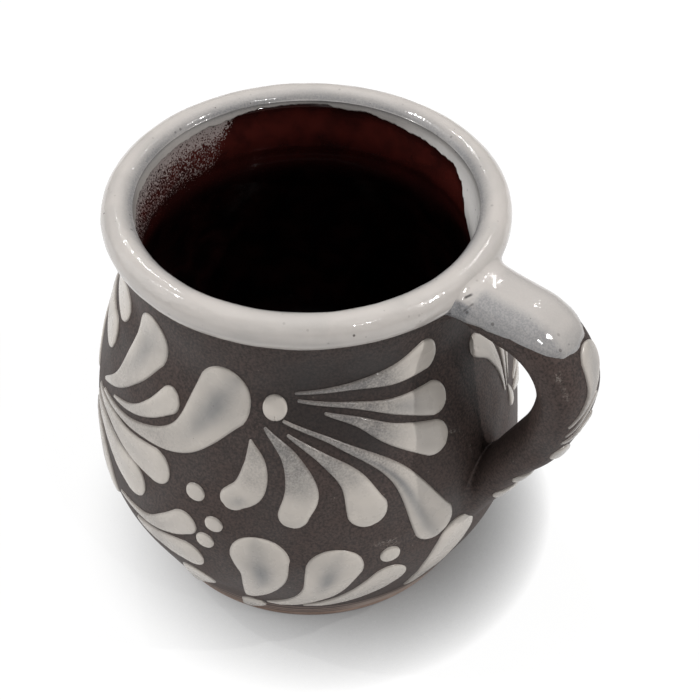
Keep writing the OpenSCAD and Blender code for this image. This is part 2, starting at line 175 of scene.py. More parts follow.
def net(lines, rows, closed=True):
    """Faces of a ring of lines of points. closed also joins the last row to the first."""
    corners = [(i * rows, (i + 1) % lines * rows) for i in range(lines)]
    return [(a + j, b + j, b + (j + 1) % rows, a + (j + 1) % rows)
            for a, b in corners for j in range(rows if closed else rows - 1)]


def turned(name, ring, rows, turns=320):
    """Closed turned piece: ring(angle, row) gives the radius and height of each row."""
    verts = []
    for i in range(turns):
        a = 2 * math.pi * i / turns
        for j in range(rows):
            r, z = ring(a, j)
            verts.append((r * math.cos(a), r * math.sin(a), z))
    return finished_mesh(name, verts, net(turns, rows), weld=True)


def mark(piece, name, value):
    """Writes a number on every point for the material to read. value(place in mm) gives it."""
    layer = piece.data.attributes.new(name, "FLOAT", "POINT")
    layer.data.foreach_set("value", [value(v.co / MM) for v in piece.data.vertices])


print("soft step at a quarter:", smooth(0.25))

# %% [markdown]
# The inside surface follows the wall at its thickness, from the floor up to the neck. Above the neck the
# throat is a little narrow, and it opens by half a millimetre behind the rolled lip. A Solidify modifier
# would thicken the wall evenly, but the floor is thicker and its corner rounder, so this line has its
# own arcs.

# %% The inside line
low_in_r = belly_curve - in_t
in_belly_r = belly_r - in_t
in_cove = neck_curve + in_t
in_high_r = touching(neck_z - belly_z, in_belly_r - mouth_r) - in_cove
in_high_c = (in_belly_r - in_high_r, belly_z)
in_high_a = math.atan2(neck_z - in_high_c[1], mouth_r + in_cove - in_high_c[0])
in_floor = floor_t + glaze_t
floor_room = (belly_z - in_floor + low_in_r * math.sin(flank_a)) / (1 + math.sin(flank_a))
floor_curve = floor_share * floor_room
floor_cz = in_floor + floor_curve
floor_cr = foot_r - (in_t + floor_curve + floor_cz * math.sin(flank_a)) / math.cos(flank_a)


def arc(c, r, a0, a1, steps):
    """Places along an arc of a circle, with both ends."""
    angles = [a0 + (a1 - a0) * i / steps for i in range(steps + 1)]
    return [(c[0] + r * math.cos(a), c[1] + r * math.sin(a)) for a in angles]


inside_line = (
    [(floor_cr * i / 6, in_floor) for i in range(6)]
    + arc((floor_cr, floor_cz), floor_curve, -math.pi / 2, flank_a, 14)
    + arc(low_c, low_in_r, flank_a, 0, 14)[1:]
    + arc(in_high_c, in_high_r, 0, in_high_a, 14)[1:]
    + arc((mouth_r + in_cove, neck_z), in_cove, math.pi + in_high_a, math.pi, 12)[1:]
)
lining_top, neck_rows = rim_z + 0.6, 14
throat_in, behind_lip = 0.6, 0.55


def neck_inside(z):
    """Inside radius above the neck: a slightly narrow throat that opens behind the lip."""
    throat = throat_in * smooth((z - neck_z) / 3.0) * (1 - smooth((z - 75.0) / 6.5))
    return mouth_r + behind_lip * smooth((z - 76.0) / 7.0) - throat


neck_levels = [neck_z + (lining_top - neck_z) * i / neck_rows for i in range(1, neck_rows + 1)]
inside_line += [(neck_inside(z), z) for z in neck_levels]
print("rows up the inside:", len(inside_line))

# %% [markdown]
# Finishes and slip are both made with nodes. Nodes could be set up one socket at a time, but that hides
# the idea in long lists. So these helpers add a node, join it and give back what comes out, and a sum or
# a noise takes one line. Sizes of noise are given in millimetres, as one would measure them on the clay.

# %% Helpers for nodes


def group(name, inputs, outputs):
    """Empty shader group with named sockets. Sizes are in millimetres."""
    tree = bpy.data.node_groups.new(name, "ShaderNodeTree")
    for label, kind, value in inputs:
        socket = tree.interface.new_socket(label, in_out="INPUT", socket_type=kind)
        if value is not None:
            socket.default_value = value
    for label in outputs:
        tree.interface.new_socket(label, in_out="OUTPUT", socket_type="NodeSocketFloat")
    return tree, tree.nodes.new("NodeGroupInput"), tree.nodes.new("NodeGroupOutput")


def place(tree, kind, settings=None, **links):
    """Adds a node. settings go on the node; links name its inputs, with _ for a space, or i0, i1, i2."""
    n = tree.nodes.new(kind)
    for key, value in (settings or {}).items():
        setattr(n, key, value)
    for key, value in links.items():
        counted = key[0] == "i" and key[1:].isdigit()
        socket = n.inputs[int(key[1:]) if counted else key.replace("_", " ")]
        if isinstance(value, bpy.types.NodeSocket):
            tree.links.new(value, socket)
        else:
            socket.default_value = value
    return n


def math_node(tree, operation, a, b=0.0, c=0.0, clamp=False):
    """One sum. Each of its values is a number or a socket."""
    settings = {"operation": operation, "use_clamp": clamp}
    return place(tree, "ShaderNodeMath", settings, i0=a, i1=b, i2=c).outputs[0]


def times(tree, a, b, plus=None, clamp=False):
    """a times b, and plus a third value where one is given."""
    if plus is None:
        return math_node(tree, "MULTIPLY", a, b, clamp=clamp)
    return math_node(tree, "MULTIPLY_ADD", a, b, plus, clamp)


def remap(tree, value, low, high, to_low=0.0, to_high=1.0):
    """Soft step of a value between two limits, which may themselves be sockets."""
    return place(tree, "ShaderNodeMapRange", {"interpolation_type": "SMOOTHSTEP"}, i0=value, i1=low,
                 i2=high, i3=to_low, i4=to_high).outputs[0]


def scaled(tree, vector, amount):
    """A vector made longer or shorter."""
    return place(tree, "ShaderNodeVectorMath", {"operation": "SCALE"}, Vector=vector, Scale=amount).outputs[0]


def per_size(tree, vector, size):
    """Divides a place in metres by a size in millimetres."""
    return scaled(tree, vector, math_node(tree, "DIVIDE", 1 / MM, size))


def noise_at(tree, where, size, detail, roughness=0.5, **more):
    """Smooth noise with lumps of a size in mm."""
    return place(tree, "ShaderNodeTexNoise", Vector=per_size(tree, where, size), Scale=1.0, Detail=detail,
                 Roughness=roughness, **more).outputs[0]


print("helpers for nodes:", [h.__name__ for h in (group, place, math_node, times, remap, noise_at)])

# %% [markdown]
# A shader node group is a small machine that several materials share. Three effects come back on this
# mug: the grain of fired clay, pinholes in glaze and slip, and patches where a coat is thin and the dark
# body greys it. Each group puts out values only, and each material sets its own sizes.

# %% Shared effects
VEC, NUM = "NodeSocketVector", "NodeSocketFloat"

grain_group, gi, go = group(
    "Fired Grain", [("Vector", VEC, None), ("Grain Size", NUM, 0.5), ("Cloud Size", NUM, 14.0)],
    ["Grain", "Cloud"])
fine = noise_at(grain_group, gi.outputs[0], gi.outputs[1], 2.0, 0.6)
wide = noise_at(grain_group, gi.outputs[0], gi.outputs[2], 3.0, 0.55)
grain_group.links.new(fine, go.inputs[0])
grain_group.links.new(wide, go.inputs[1])

hole_group, gi, go = group(
    "Pinholes", [("Vector", VEC, None), ("Spacing", NUM, 3.0), ("Size", NUM, 0.12), ("Share", NUM, 0.3)],
    ["Mask"])
cells = place(hole_group, "ShaderNodeTexVoronoi", Vector=per_size(hole_group, gi.outputs[0], gi.outputs[1]),
              Scale=1.0, Randomness=1.0)
chance = place(hole_group, "ShaderNodeSeparateColor", Color=cells.outputs["Color"])
picked = math_node(hole_group, "LESS_THAN", chance.outputs[0], gi.outputs[3])
wide_hole = times(hole_group, chance.outputs[1], gi.outputs[2], times(hole_group, gi.outputs[2], 0.4))
dot = remap(hole_group, cells.outputs["Distance"], times(hole_group, wide_hole, 0.5), wide_hole, 1.0, 0.0)
hole_group.links.new(times(hole_group, dot, picked), go.inputs[0])

patch_group, gi, go = group(
    "Thin Patches", [("Vector", VEC, None), ("Patch Size", NUM, 9.0), ("Low", NUM, 0.45), ("High", NUM, 0.7)],
    ["Mask"])
drift = noise_at(patch_group, gi.outputs[0], gi.outputs[1], 3.0, Distortion=0.4)
patch_group.links.new(remap(patch_group, drift, gi.outputs[2], gi.outputs[3]), go.inputs[0])
print("shared effects:", [g.name for g in bpy.data.node_groups])

# %% [markdown]
# A finish is a material with one shader. The helpers here read colours as they look on a screen, add a
# shared effect, lay one colour over another through a mask, and pick up the numbers that pieces carry.

# %% Helpers for finishes


def srgb(red, green, blue):
    """A colour as it is read off a picture, 0 to 255, turned into the linear light that shaders use."""
    def lin(c):
        c /= 255
        return c / 12.92 if c <= 0.04045 else ((c + 0.055) / 1.055) ** 2.4
    return (lin(red), lin(green), lin(blue), 1.0)


def new_finish(name, roughness):
    """A material with its shader and its Object coordinates."""
    finish = bpy.data.materials.new(name)
    finish.use_nodes = True
    tree = finish.node_tree
    shader = tree.nodes["Principled BSDF"]
    shader.inputs["Roughness"].default_value = roughness
    return finish, tree, shader, tree.nodes.new("ShaderNodeTexCoord").outputs["Object"]


def effect(tree, shared, where, **sizes):
    """Adds a shared effect with its own sizes and gives its outputs."""
    n = place(tree, "ShaderNodeGroup", {"node_tree": shared}, Vector=where, **sizes)
    return n.outputs


def blend_colours(tree, amount, a, b):
    """Colour a where the amount is 0 and colour b where it is 1."""
    return place(tree, "ShaderNodeMix", {"data_type": "RGBA"}, i0=amount, i6=a, i7=b).outputs[2]


def tint(tree, colour, mask, weight, *rgb):
    """Lays a colour over another where a mask is set."""
    return blend_colours(tree, times(tree, mask, weight), colour, srgb(*rgb))


def bump(tree, shader, height, strength, distance_mm):
    """Lets a height tilt the light on a finish."""
    n = place(tree, "ShaderNodeBump", Height=height, Strength=strength, Distance=distance_mm * MM)
    tree.links.new(n.outputs[0], shader.inputs["Normal"])


def reading(tree, name):
    """The number that mark() wrote on the piece."""
    return place(tree, "ShaderNodeAttribute", {"attribute_name": name}).outputs["Fac"]


print("a mid grey in linear light:", round(srgb(128, 128, 128)[0], 3))

# %% [markdown]
# Real pots carry small marks: smears of white slip, places that a thumb wiped, fine cracks in the glaze.
# The same helper also lays painted shade along a crease and under the rim.
# An image could hold them, but the mesh would have to be unwrapped first. The helper here measures the
# distance to a short line in space instead, so one mark is two places and a width.

# %% Pale marks and cracks


def vector_node(tree, operation, a, b, out=0):
    """One sum of two vectors. out is 1 where the answer is a number."""
    return place(tree, "ShaderNodeVectorMath", {"operation": operation}, i0=a, i1=b).outputs[out]


def streak(tree, here, wobble, start, stop, width):
    """Mask of a short uneven line between two places in mm. It fades at its ends and at its sides."""
    way = Vector(stop) - Vector(start)
    off = vector_node(tree, "SUBTRACT", here, Vector(start) * MM)
    along = vector_node(tree, "DOT_PRODUCT", off, way / (way.length_squared * MM), 1)
    on_line = scaled(tree, way * MM, math_node(tree, "ADD", along, 0.0, clamp=True))
    gap = vector_node(tree, "DISTANCE", off, on_line, 1)
    gap = math_node(tree, "MAXIMUM", times(tree, gap, 1 / MM, wobble), 0.0)
    ends = times(tree, remap(tree, along, -0.05, 0.3), remap(tree, along, 0.7, 1.05, 1.0, 0.0))
    return times(tree, ends, remap(tree, gap, 0.0, width, 1.0, 0.0))


def greatest(tree, masks):
    """The strongest of several masks at each place."""
    most = masks[0]
    for mask in masks[1:]:
        most = math_node(tree, "MAXIMUM", most, mask)
    return most


def streaks(tree, here, wobble, lines):
    """One mask of several such lines."""
    return greatest(tree, [streak(tree, here, wobble, *line) for line in lines])


print("helpers for marks:", [h.__name__ for h in (vector_node, streak, greatest, streaks)])

# %% [markdown]
# Dark slip is watery clay brushed over the pot. Fired, it is matte and slightly grainy, with faint
# clouds where the brush left more. A noise for the grain drives colour and bump together, because
# on clay the high grains are also the pale ones.

# %% Dark slip
dark_slip, tree, shader, here = new_finish("dark slip", 0.62)
grain, cloud = effect(tree, grain_group, here, Grain_Size=0.5, Cloud_Size=13.0)[:2]
tone = times(tree, grain, 0.78, times(tree, cloud, 0.22))
dark = blend_colours(tree, remap(tree, tone, 0.33, 0.67), srgb(41, 32, 29), srgb(82, 67, 62))
pale_specks = effect(tree, hole_group, here, Spacing=2.2, Size=0.1, Share=0.16)[0]
dark = tint(tree, dark, pale_specks, 0.4, 150, 138, 130)
tree.links.new(remap(tree, cloud, 0.3, 0.7, 0.54, 0.72), shader.inputs["Roughness"])
bump(tree, shader, grain, 0.35, 0.12)
print("dark slip nodes:", len(tree.nodes))

# %% [markdown]
# Marks lie over the dark slip: small smears of white, thin pale rings where a sponge wiped the foot, a
# pale wiped strip on the handle's side, and painted shade under the rim, where the rim's shadow falls on
# the shoulder. They could be painted as an image, but an image is fixed in size; masks from places in
# space stay sharp and follow the clay.

# %% Marks on the dark slip
sway = noise_at(tree, here, 5.0, 3.0, 0.6)
wobble = times(tree, sway, 1.6, -0.8)
smear_lines = [
    ((34.6, -27.9, 32.9), (38.3, -22.6, 32.6), 0.9), ((35.8, -26.3, 31.2), (38.4, -22.4, 31.6), 0.7),
    ((39.6, -11.0, 53.0), (41.0, -7.4, 51.6), 0.45), ((40.8, -7.6, 52.2), (42.4, -5.4, 47.0), 0.45),
    ((42.2, -5.6, 47.8), (43.5, -4.8, 41.5), 0.4), ((58.8, -6.0, 76.0), (60.4, -6.0, 73.4), 0.9),
    ((60.2, -6.0, 73.6), (62.0, -5.8, 69.6), 0.8)]
smears = streaks(tree, here, wobble, smear_lines)
broken = effect(tree, patch_group, here, Patch_Size=0.4, Low=0.42, High=0.75)[0]
smears = times(tree, times(tree, smears, broken), 0.5)
dark = blend_colours(tree, smears, dark, srgb(182, 172, 164))
level = times(tree, place(tree, "ShaderNodeSeparateXYZ", Vector=here).outputs[2], 1 / MM)
swayed = times(tree, wobble, 0.8, level)
foot_rings = ((2.4, 0.6, 0.8), (3.7, 0.5, 0.8), (5.1, 0.55, 0.8), (6.9, 0.45, 0.6))


def foot_ring(height, width, weight):
    """Mask of a wavy ring round the pot."""
    off = math_node(tree, "ABSOLUTE", math_node(tree, "SUBTRACT", swayed, height))
    return remap(tree, off, 0.0, width, weight, 0.0)


rings = greatest(tree, [foot_ring(*ring) for ring in foot_rings])
ring_break = effect(tree, patch_group, here, Patch_Size=9.0, Low=0.2, High=0.42)[0]
dark = blend_colours(tree, remap(tree, level, 2.5, 8.0, 0.7, 0.0), dark, srgb(122, 104, 95))
dark = blend_colours(tree, times(tree, rings, ring_break), dark, srgb(172, 150, 138))
wiped = streaks(tree, here, wobble, [((26.0, -26.0, 3.5), (36.0, -4.0, 4.0), 4.5)])
dark = tint(tree, dark, wiped, 0.85, 192, 174, 164)
# Painted shade: the rim's shadow on the shoulder, laid into the slip's colour as a dark tint.
thick = streaks(tree, here, wobble, [((12.0, -34.0, 70.0), (38.0, -12.0, 70.0), 11.0),
                                     ((14.0, -34.0, 67.0), (38.0, -20.0, 54.0), 10.0)])
dark = tint(tree, dark, thick, 0.75, 24, 18, 17)
tree.links.new(dark, shader.inputs["Base Color"])
print("smears and rings:", len(smear_lines), len(foot_rings))

# %% [markdown]
# Bare clay shows only at the foot, where the pot stood on the kiln shelf. It is a red earthenware,
# rough and dusty, with coarse grains. One flat colour would look like plastic so near the table, so wide
# clouds change its tone, and a few dark cells of a Voronoi texture stand in for grit.

# %% Bare clay
bare_clay, tree, shader, here = new_finish("bare clay", 0.92)
grain, cloud = effect(tree, grain_group, here, Grain_Size=0.7, Cloud_Size=8.0)[:2]
clay = blend_colours(tree, remap(tree, cloud, 0.3, 0.7), srgb(168, 142, 129), srgb(192, 168, 155))
grit = effect(tree, hole_group, here, Spacing=1.6, Size=0.2, Share=0.35)[0]
clay = tint(tree, clay, grit, 0.5, 122, 88, 74)
tree.links.new(clay, shader.inputs["Base Color"])
bump(tree, shader, grain, 0.5, 0.25)
print("bare clay nodes:", len(tree.nodes))

# %% [markdown]
# White glaze is a glass coat with tin or opaque frit in it. It is shiny, a little wavy, greyer where it
# is thin, and it keeps a few dark pinholes where gas escaped in the kiln. On the rim it also takes painted
# shade in creases and painted light inside the mouth. A real layer of glass would be slow and noisy to
# render, so one opaque shader with a low roughness is used, and its colour and bump tell of the depth.

# %% White glaze
white_glaze, tree, shader, here = new_finish("white glaze", 0.13)
thin = reading(tree, "thin")
mottle = effect(tree, patch_group, here, Patch_Size=0.36, Low=0.3, High=0.7)[0]
drifts = effect(tree, patch_group, here, Patch_Size=9.0, Low=0.4, High=0.7)[0]
greyed = times(tree, thin, times(tree, mottle, 0.3, 0.68), clamp=True)
white = blend_colours(tree, times(tree, drifts, 0.5), srgb(210, 204, 199), srgb(192, 188, 184))
# Painted light: the inside of the mouth on the handle's side is whitened where the lamps leave it dim.
white = blend_colours(tree, reading(tree, "pooled"), white, srgb(252, 249, 246))
# Thin glaze goes grey; on the rim this also carries painted shade along the groove and the lip's inside.
white = blend_colours(tree, greyed, white, srgb(124, 126, 130))
pits = effect(tree, hole_group, here, Spacing=1.7, Size=0.2, Share=0.45)[0]
pitted = times(tree, pits, times(tree, thin, 0.85))
white = blend_colours(tree, pitted, white, srgb(78, 76, 78))
still = times(tree, drifts, 0.12, -0.06)
# A fine crack at the handle's root, and above it painted shade along the valley where the handle meets the
# roll.
crack_and_crease_shade = streaks(tree, here, still, [((40.0, -7.7, 81.3), (41.4, -5.9, 83.0), 0.3),
                                     ((39.3, -6.4, 83.3), (40.3, -4.6, 83.7), 0.35)])
white = tint(tree, white, crack_and_crease_shade, 0.85, 44, 40, 42)
faint = effect(tree, hole_group, here, Spacing=1.7, Size=0.14, Share=0.4)[0]
white = tint(tree, white, faint, 0.3, 140, 134, 130)
holes = effect(tree, hole_group, here, Spacing=3.6, Size=0.075, Share=0.34)[0]
white = tint(tree, white, holes, 0.8, 66, 56, 52)
tree.links.new(white, shader.inputs["Base Color"])
tree.links.new(remap(tree, drifts, 0.0, 1.0, 0.1, 0.2), shader.inputs["Roughness"])
waves = noise_at(tree, here, 4.0, 3.0, 0.5)
ripples = noise_at(tree, here, 0.8, 1.0)
relief = times(tree, ripples, 0.22, waves)
relief = math_node(tree, "SUBTRACT", relief, times(tree, holes, 0.6))
bump(tree, shader, relief, 0.4, 0.35)
print("white glaze nodes:", len(tree.nodes))

# %% [markdown]
# White slip is the raised ornament. It was trailed on thick, so its rims stay white while the hollow
# middle and the thin tails let the dark body grey them. The pieces carry numbers for how thin, hollow
# or near the edge a place is, and noise breaks those up so that no two petals fade alike.

# %% White slip
white_slip, tree, shader, here = new_finish("white slip", 0.3)
thin, pool, edge_thin_and_shade = (reading(tree, label) for label in ("thin", "pool", "edge"))
dust = noise_at(tree, here, 0.4, 2.0, 0.6)
drift = noise_at(tree, here, 4.0, 3.0, 0.6)
dusty = times(tree, thin, times(tree, dust, 1.2, 0.35))
dusty = times(tree, dusty, times(tree, drift, 0.8, 0.6))
greyed = remap(tree, dusty, 0.08, 1.0)
cloud = effect(tree, grain_group, here, Grain_Size=0.6, Cloud_Size=9.0)[1]
slip = blend_colours(tree, remap(tree, cloud, 0.32, 0.68), srgb(209, 202, 194), srgb(221, 213, 204))
pooled = times(tree, pool, times(tree, drift, 0.7, 0.65), clamp=True)
slip = blend_colours(tree, pooled, slip, srgb(122, 124, 127))
slip = tint(tree, slip, greyed, 0.9, 98, 96, 97)
# Darker at the very edge: the slip is thin there, and painted shade lies on its rounded rim.
slip = tint(tree, slip, edge_thin_and_shade, 0.45, 112, 103, 98)
sparkle = effect(tree, hole_group, here, Spacing=1.5, Size=0.15, Share=0.16)[0]
shine = times(tree, sparkle, times(tree, greyed, 0.8, 0.06))
slip = blend_colours(tree, shine, slip, srgb(230, 228, 226))
holes = effect(tree, hole_group, here, Spacing=3.0, Size=0.075, Share=0.22)[0]
slip = tint(tree, slip, holes, 0.6, 96, 88, 84)
tree.links.new(slip, shader.inputs["Base Color"])
tree.links.new(remap(tree, drift, 0.3, 0.7, 0.22, 0.36), shader.inputs["Roughness"])
relief = math_node(tree, "SUBTRACT", drift, times(tree, holes, 0.5))
bump(tree, shader, relief, 0.22, 0.25)
print("white slip nodes:", len(tree.nodes))

# %% [markdown]
# Brown glaze lines the inside. It is a clear, iron-rich glass, red-brown, and deep in the mug its colour
# is made almost black as painted shade. Flecks of white from the rim lie over it on one side. Depth is
# a number on the piece and not thick glass, because the lining is thinner than a millimetre.

# %% Brown glaze
brown_glaze, tree, shader, here = new_finish("brown glaze", 0.08)
painted_deep_shade = reading(tree, "painted_deep_shade")
# Painted shade: the lining is made almost black deep inside.
brown = blend_colours(tree, painted_deep_shade, srgb(70, 26, 22), srgb(8, 4, 5))
drifts = effect(tree, patch_group, here, Patch_Size=6.0, Low=0.35, High=0.7)[0]
brown = tint(tree, brown, drifts, 0.7, 34, 14, 13)
spray = reading(tree, "spray")
flecks = noise_at(tree, here, 0.4, 2.0, 0.6)
covered = remap(tree, math_node(tree, "ADD", spray, flecks), 0.86, 1.04)
brown = tint(tree, brown, covered, 0.85, 176, 165, 162)
tree.links.new(brown, shader.inputs["Base Color"])
waves = noise_at(tree, here, 6.0, 2.0, 0.45)
bump(tree, shader, waves, 0.3, 0.3)
print("finishes:", [m.name for m in (dark_slip, bare_clay, white_glaze, white_slip, brown_glaze)])

# %% [markdown]
# The thrown pot is the clay itself. Almost all of it is under coats, so only the foot gets detail: a
# soft lower edge and a flat underside. Beside the handle the wall was pushed in by less than a
# millimetre when the handle was pressed on. Sculpting would do that to one mesh only; a function serves
# the clay and the coat, and the slip repeats it in nodes.

# %% The thrown pot
press_at, press_wide, press_deep = (24.0, 43.0), (16.0, 12.0), 0.85


def pressed(a, z):
    """How far the wall was pushed in beside the handle when it was pressed on."""
    round_off = (math.degrees(math.atan2(math.sin(a), math.cos(a))) - press_at[0]) / press_wide[0]
    return press_deep * math.exp(-round_off ** 2 - ((z - press_at[1]) / press_wide[1]) ** 2)


foot_soft = 1.0
foot_cr = foot_r - foot_soft * (1 + math.sin(flank_a)) / math.cos(flank_a)
pot_out = [(foot_cr * i / 5, 0.0) for i in range(5)]
pot_out += arc((foot_cr, foot_soft), foot_soft, -math.pi / 2, flank_a, 6)
pot_out += [wall_at(1.2 + 0.3 * i, -0.04) for i in range(3)]
pot_out += [wall_at(2.4 + (wall_run - 2.4) * i / 40, -coat_t) for i in range(41)]
pot_lip = arc((rim_r, rim_z), roll_r - glaze_t, -math.pi / 2, math.radians(150), 24)
pot_in = [(r + (glaze_t if z > in_floor + 0.01 else 0.0), max(z - glaze_t, floor_t) if z < 12 else z)
          for r, z in reversed(inside_line[1:])]
pot_line = pot_out + pot_lip + [(r + 0.1, z) for r, z in pot_in] + [(0.0, floor_t - 0.1)]


def pot_ring(a, j):
    """The pot's line, pressed in beside the handle on its outer rows."""
    r, z = pot_line[j]
    return (r - pressed(a, z) if j < len(pot_out) else r), z


thrown_pot = turned("thrown_pot", pot_ring, len(pot_line), 192)
thrown_pot.data.materials.append(bare_clay)
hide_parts("clay_body")
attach(thrown_pot, "root")
print("thrown pot faces:", len(thrown_pot.data.polygons))

# %% [markdown]
# The dark coat covers the outside and stops just above the foot in an uneven line, where the potter
# wiped it off. Faint rings from the wheel run round it. A second colour on the pot would do from afar,
# but the edge of a coat catches light, so it is a shell of its own that rises out of the clay.

# %% The dark coat
coat_rows, coat_back, coat_deep = 150, 30, 1.2


def coat_edge(a):
    """Run at which the coat starts: a wavy line above the foot."""
    return bare_edge + 0.35 * ripple(a, 0, 16, 1) + 0.2 * ripple(a, 0, 4, 2)


def coat_ring(a, j):
    """Up the outside of the coat with faint wheel rings, then down again inside the clay."""
    low = coat_edge(a)
    if j < coat_rows:
        run = low + (wall_run - low) * j / (coat_rows - 1)
        lip = -coat_t - 0.1 + (coat_t + 0.1) * smooth((run - low) / 0.9)
        rings = 0.05 * math.sin(run / 0.9 + a) * ripple(a, run, 22, 3) + 0.05 * ripple(a, run, 12, 4)
        r, z = wall_at(run, lip + rings)
        return r - pressed(a, z), z
    run = wall_run - (wall_run - low) * (j - coat_rows) / (coat_back - 1)
    r, z = wall_at(run, -coat_deep)
    return r - pressed(a, z), z


dark_coat = turned("dark_coat", coat_ring, coat_rows + coat_back, 360)
dark_coat.data.materials.append(dark_slip)
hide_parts("outer_coat")
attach(dark_coat, "root")
print("dark coat faces:", len(dark_coat.data.polygons))

# %% [markdown]
# White glaze ran down inside the mouth before it set: it hardly clears the roll at the back and hangs
# lower towards the handle. Noise alone would fray it evenly, so a short table gives the depth at a few
# angles, and three sizes of noise make the edge ragged.

# %% The ragged edge inside


def between(table, a):
    """Value of a table at an angle in degrees round the pot."""
    a = math.degrees(a) % 360
    for (a0, v0), (a1, v1) in zip(table, table[1:]):
        if a0 <= a <= a1:
            return v0 + (v1 - v0) * smooth((a - a0) / (a1 - a0))
    return table[-1][1]


band_table = [
    (0, 8.0), (25, 11.0), (40, 11.0), (47, 8.5), (52, 5.3), (57, 3.6), (64, 2.2), (75, 1.8), (88, 1.6),
    (97, 0.95), (105, 0.1), (112, 0.2), (124, -0.35), (134, -0.4), (142, -0.2), (150, 0.3), (157, 0.6),
    (180, 0.9), (225, 2.2), (270, 5.0), (320, 6.5), (360, 8.0)]


def band_depth(a):
    """How far the white skirt hangs below the middle of the roll, with a ragged edge."""
    depth = between(band_table, a)
    ragged = 0.5 * ripple(a, 0, 9, 5) + 0.35 * ripple(a, 0, 2.4, 6) + 0.25 * ripple(a, 0, 0.9, 7)
    return max(depth + ragged * (0.9 + 0.3 * smooth(depth / 2)), -0.45)


print("white skirt at the handle and at the back, mm:", round(band_depth(0), 1), round(band_depth(math.pi), 1))

# %% [markdown]
# The rim glaze is a thick white roll. Outside it ends in the crease under the roll. Inside, a fine
# groove parts the roll from the skirt. The skirt dips under the brown glaze along its ragged line, so the
# edge is a real edge and not a painted one.

# %% The rim glaze
roll_rows, skirt_rows, groove_z = 56, 40, rim_z + 1.25
roll_start, roll_end = math.radians(-91.5), math.radians(150)


def rim_ring(a, j):
    """Over the roll, down the skirt to its ragged end, and back inside the clay."""
    if j < roll_rows:
        t = roll_start + (roll_end - roll_start) * j / (roll_rows - 1)
        r = roll_r + 0.1 * ripple(a, 14 * t, 11, 8) + 0.05 * ripple(a, 14 * t, 4, 9)
        return rim_r + r * math.cos(t), rim_z + r * math.sin(t)
    top_z = rim_z + roll_r * math.sin(roll_end)
    low = rim_z - band_depth(a)
    if j < roll_rows + skirt_rows:
        t = (j - roll_rows + 1) / skirt_rows
        z = top_z + (low - top_z) * t ** 1.3
        groove = 0.1 * math.exp(-((z - groove_z) / 0.6) ** 2)
        return neck_inside(z) + 0.08 - 0.3 * smooth((z - low) / 0.55) + groove, z
    back = [(mouth_r + 1.05, low + 0.3), (mouth_r + 1.4, groove_z), (rim_r, rim_z),
            (neck_r - 0.6, neck_top + 0.5)]
    return back[j - roll_rows - skirt_rows]


rim_white = turned("rim_white", rim_ring, roll_rows + skirt_rows + 4, 540)
rim_white.data.materials.append(white_glaze)
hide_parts("rim_glaze")
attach(rim_white, "root")
print("rim faces:", len(rim_white.data.polygons))

# %% [markdown]
# Glaze shows its thickness as colour: grey where it is thin over the dark body. Painted shade greys it
# along the groove's crease and on the lip's inner side, and painted light whitens the inside of the mouth
# on the handle's side. The finish cannot know that, so two numbers are written on the rim's points for it.

# %% Where the rim glaze is thin, with painted shade and painted light


def rim_thin_and_shade(p):
    """Grey under the roll where the glaze thins, and painted shade along the groove and on the lip's inner
    side.
    """
    r, a = math.hypot(p.x, p.y), math.atan2(p.y, p.x)
    inside = smooth((rim_r - 1.0 - r) / 1.5)
    # Painted shade in the groove's crease.
    groove = math.exp(-((p.z - groove_z - 0.3) / 1.15) ** 2) * inside
    skirt = 0.06 * inside * smooth((groove_z - p.z) / 2.0)
    under = 0.45 * smooth((rim_z - 2.3 - p.z) / 0.8) * (1 - inside)
    # Painted shade on the lip's inner side.
    lip = 0.36 * smooth((rim_r - r) / 2.0) * smooth((p.z - groove_z) / 1.0)
    round_roll = math.degrees(math.atan2(p.z - rim_z, r - rim_r))
    line = 0.26 * math.exp(-((round_roll + 6) / 7) ** 2)
    soft = 0.5 + 0.5 * ripple(a, p.z, 10, 10)
    return min(1.0, line * soft + 0.62 * groove * (0.55 + 0.7 * soft) + skirt * (0.4 + soft) + under + lip)


def rim_painted_light(p):
    """Painted light: whiter inside the mouth, below the groove, on the handle's side."""
    toward = math.cos(math.atan2(p.y, p.x) - view_az)
    inside = smooth((rim_r - 2.2 - math.hypot(p.x, p.y)) / 0.8)
    return inside * smooth((groove_z - 0.2 - p.z) / 1.2) * smooth((toward - 0.45) / 0.4)


mark(rim_white, "thin", rim_thin_and_shade)
mark(rim_white, "pooled", rim_painted_light)
print("numbers on the rim:", [m.name for m in rim_white.data.attributes if m.name in ("thin", "pooled")])

# %% [markdown]
# The brown lining goes on first in the workshop, so here it runs up behind the white skirt. Two
# numbers ride on it: how much painted shade a place gets from its depth, and how much white mist from
# the rim reached it. A shader could take them from the height, but the mist lies on one side and the
# white edge is ragged.

# %% The brown lining
lining_t = 0.6
lining_back = [(r + lining_t, z) for r, z in reversed(inside_line[1:])]
lining_line = inside_line + lining_back + [(0.0, in_floor - lining_t)]
brown_lining = turned("brown_lining", lambda a, j: lining_line[j], len(lining_line), 256)
brown_lining.data.materials.append(brown_glaze)


def mist(p):
    """White mist from the rim: on the side away from the handle, thinning downwards."""
    a = math.degrees(math.atan2(p.y, p.x)) % 360
    side = smooth((a - 148 - 0.9 * (rim_z - p.z)) / 9) * (1 - smooth((a - 225) / 25))
    return side * (0.36 * smooth((p.z - 66) / 9) + 0.2 * smooth((p.z - 77) / 5))


def painted_depth_shade(p):
    """Painted shade, dark far down; also a dark thin line along the white edge where the brown glaze lies
    thick.
    """
    below = rim_z - band_depth(math.atan2(p.y, p.x)) - p.z
    return max(smooth((77.5 - p.z) / 13), 0.5 * (1 - smooth((below - 0.3) / 1.2)))


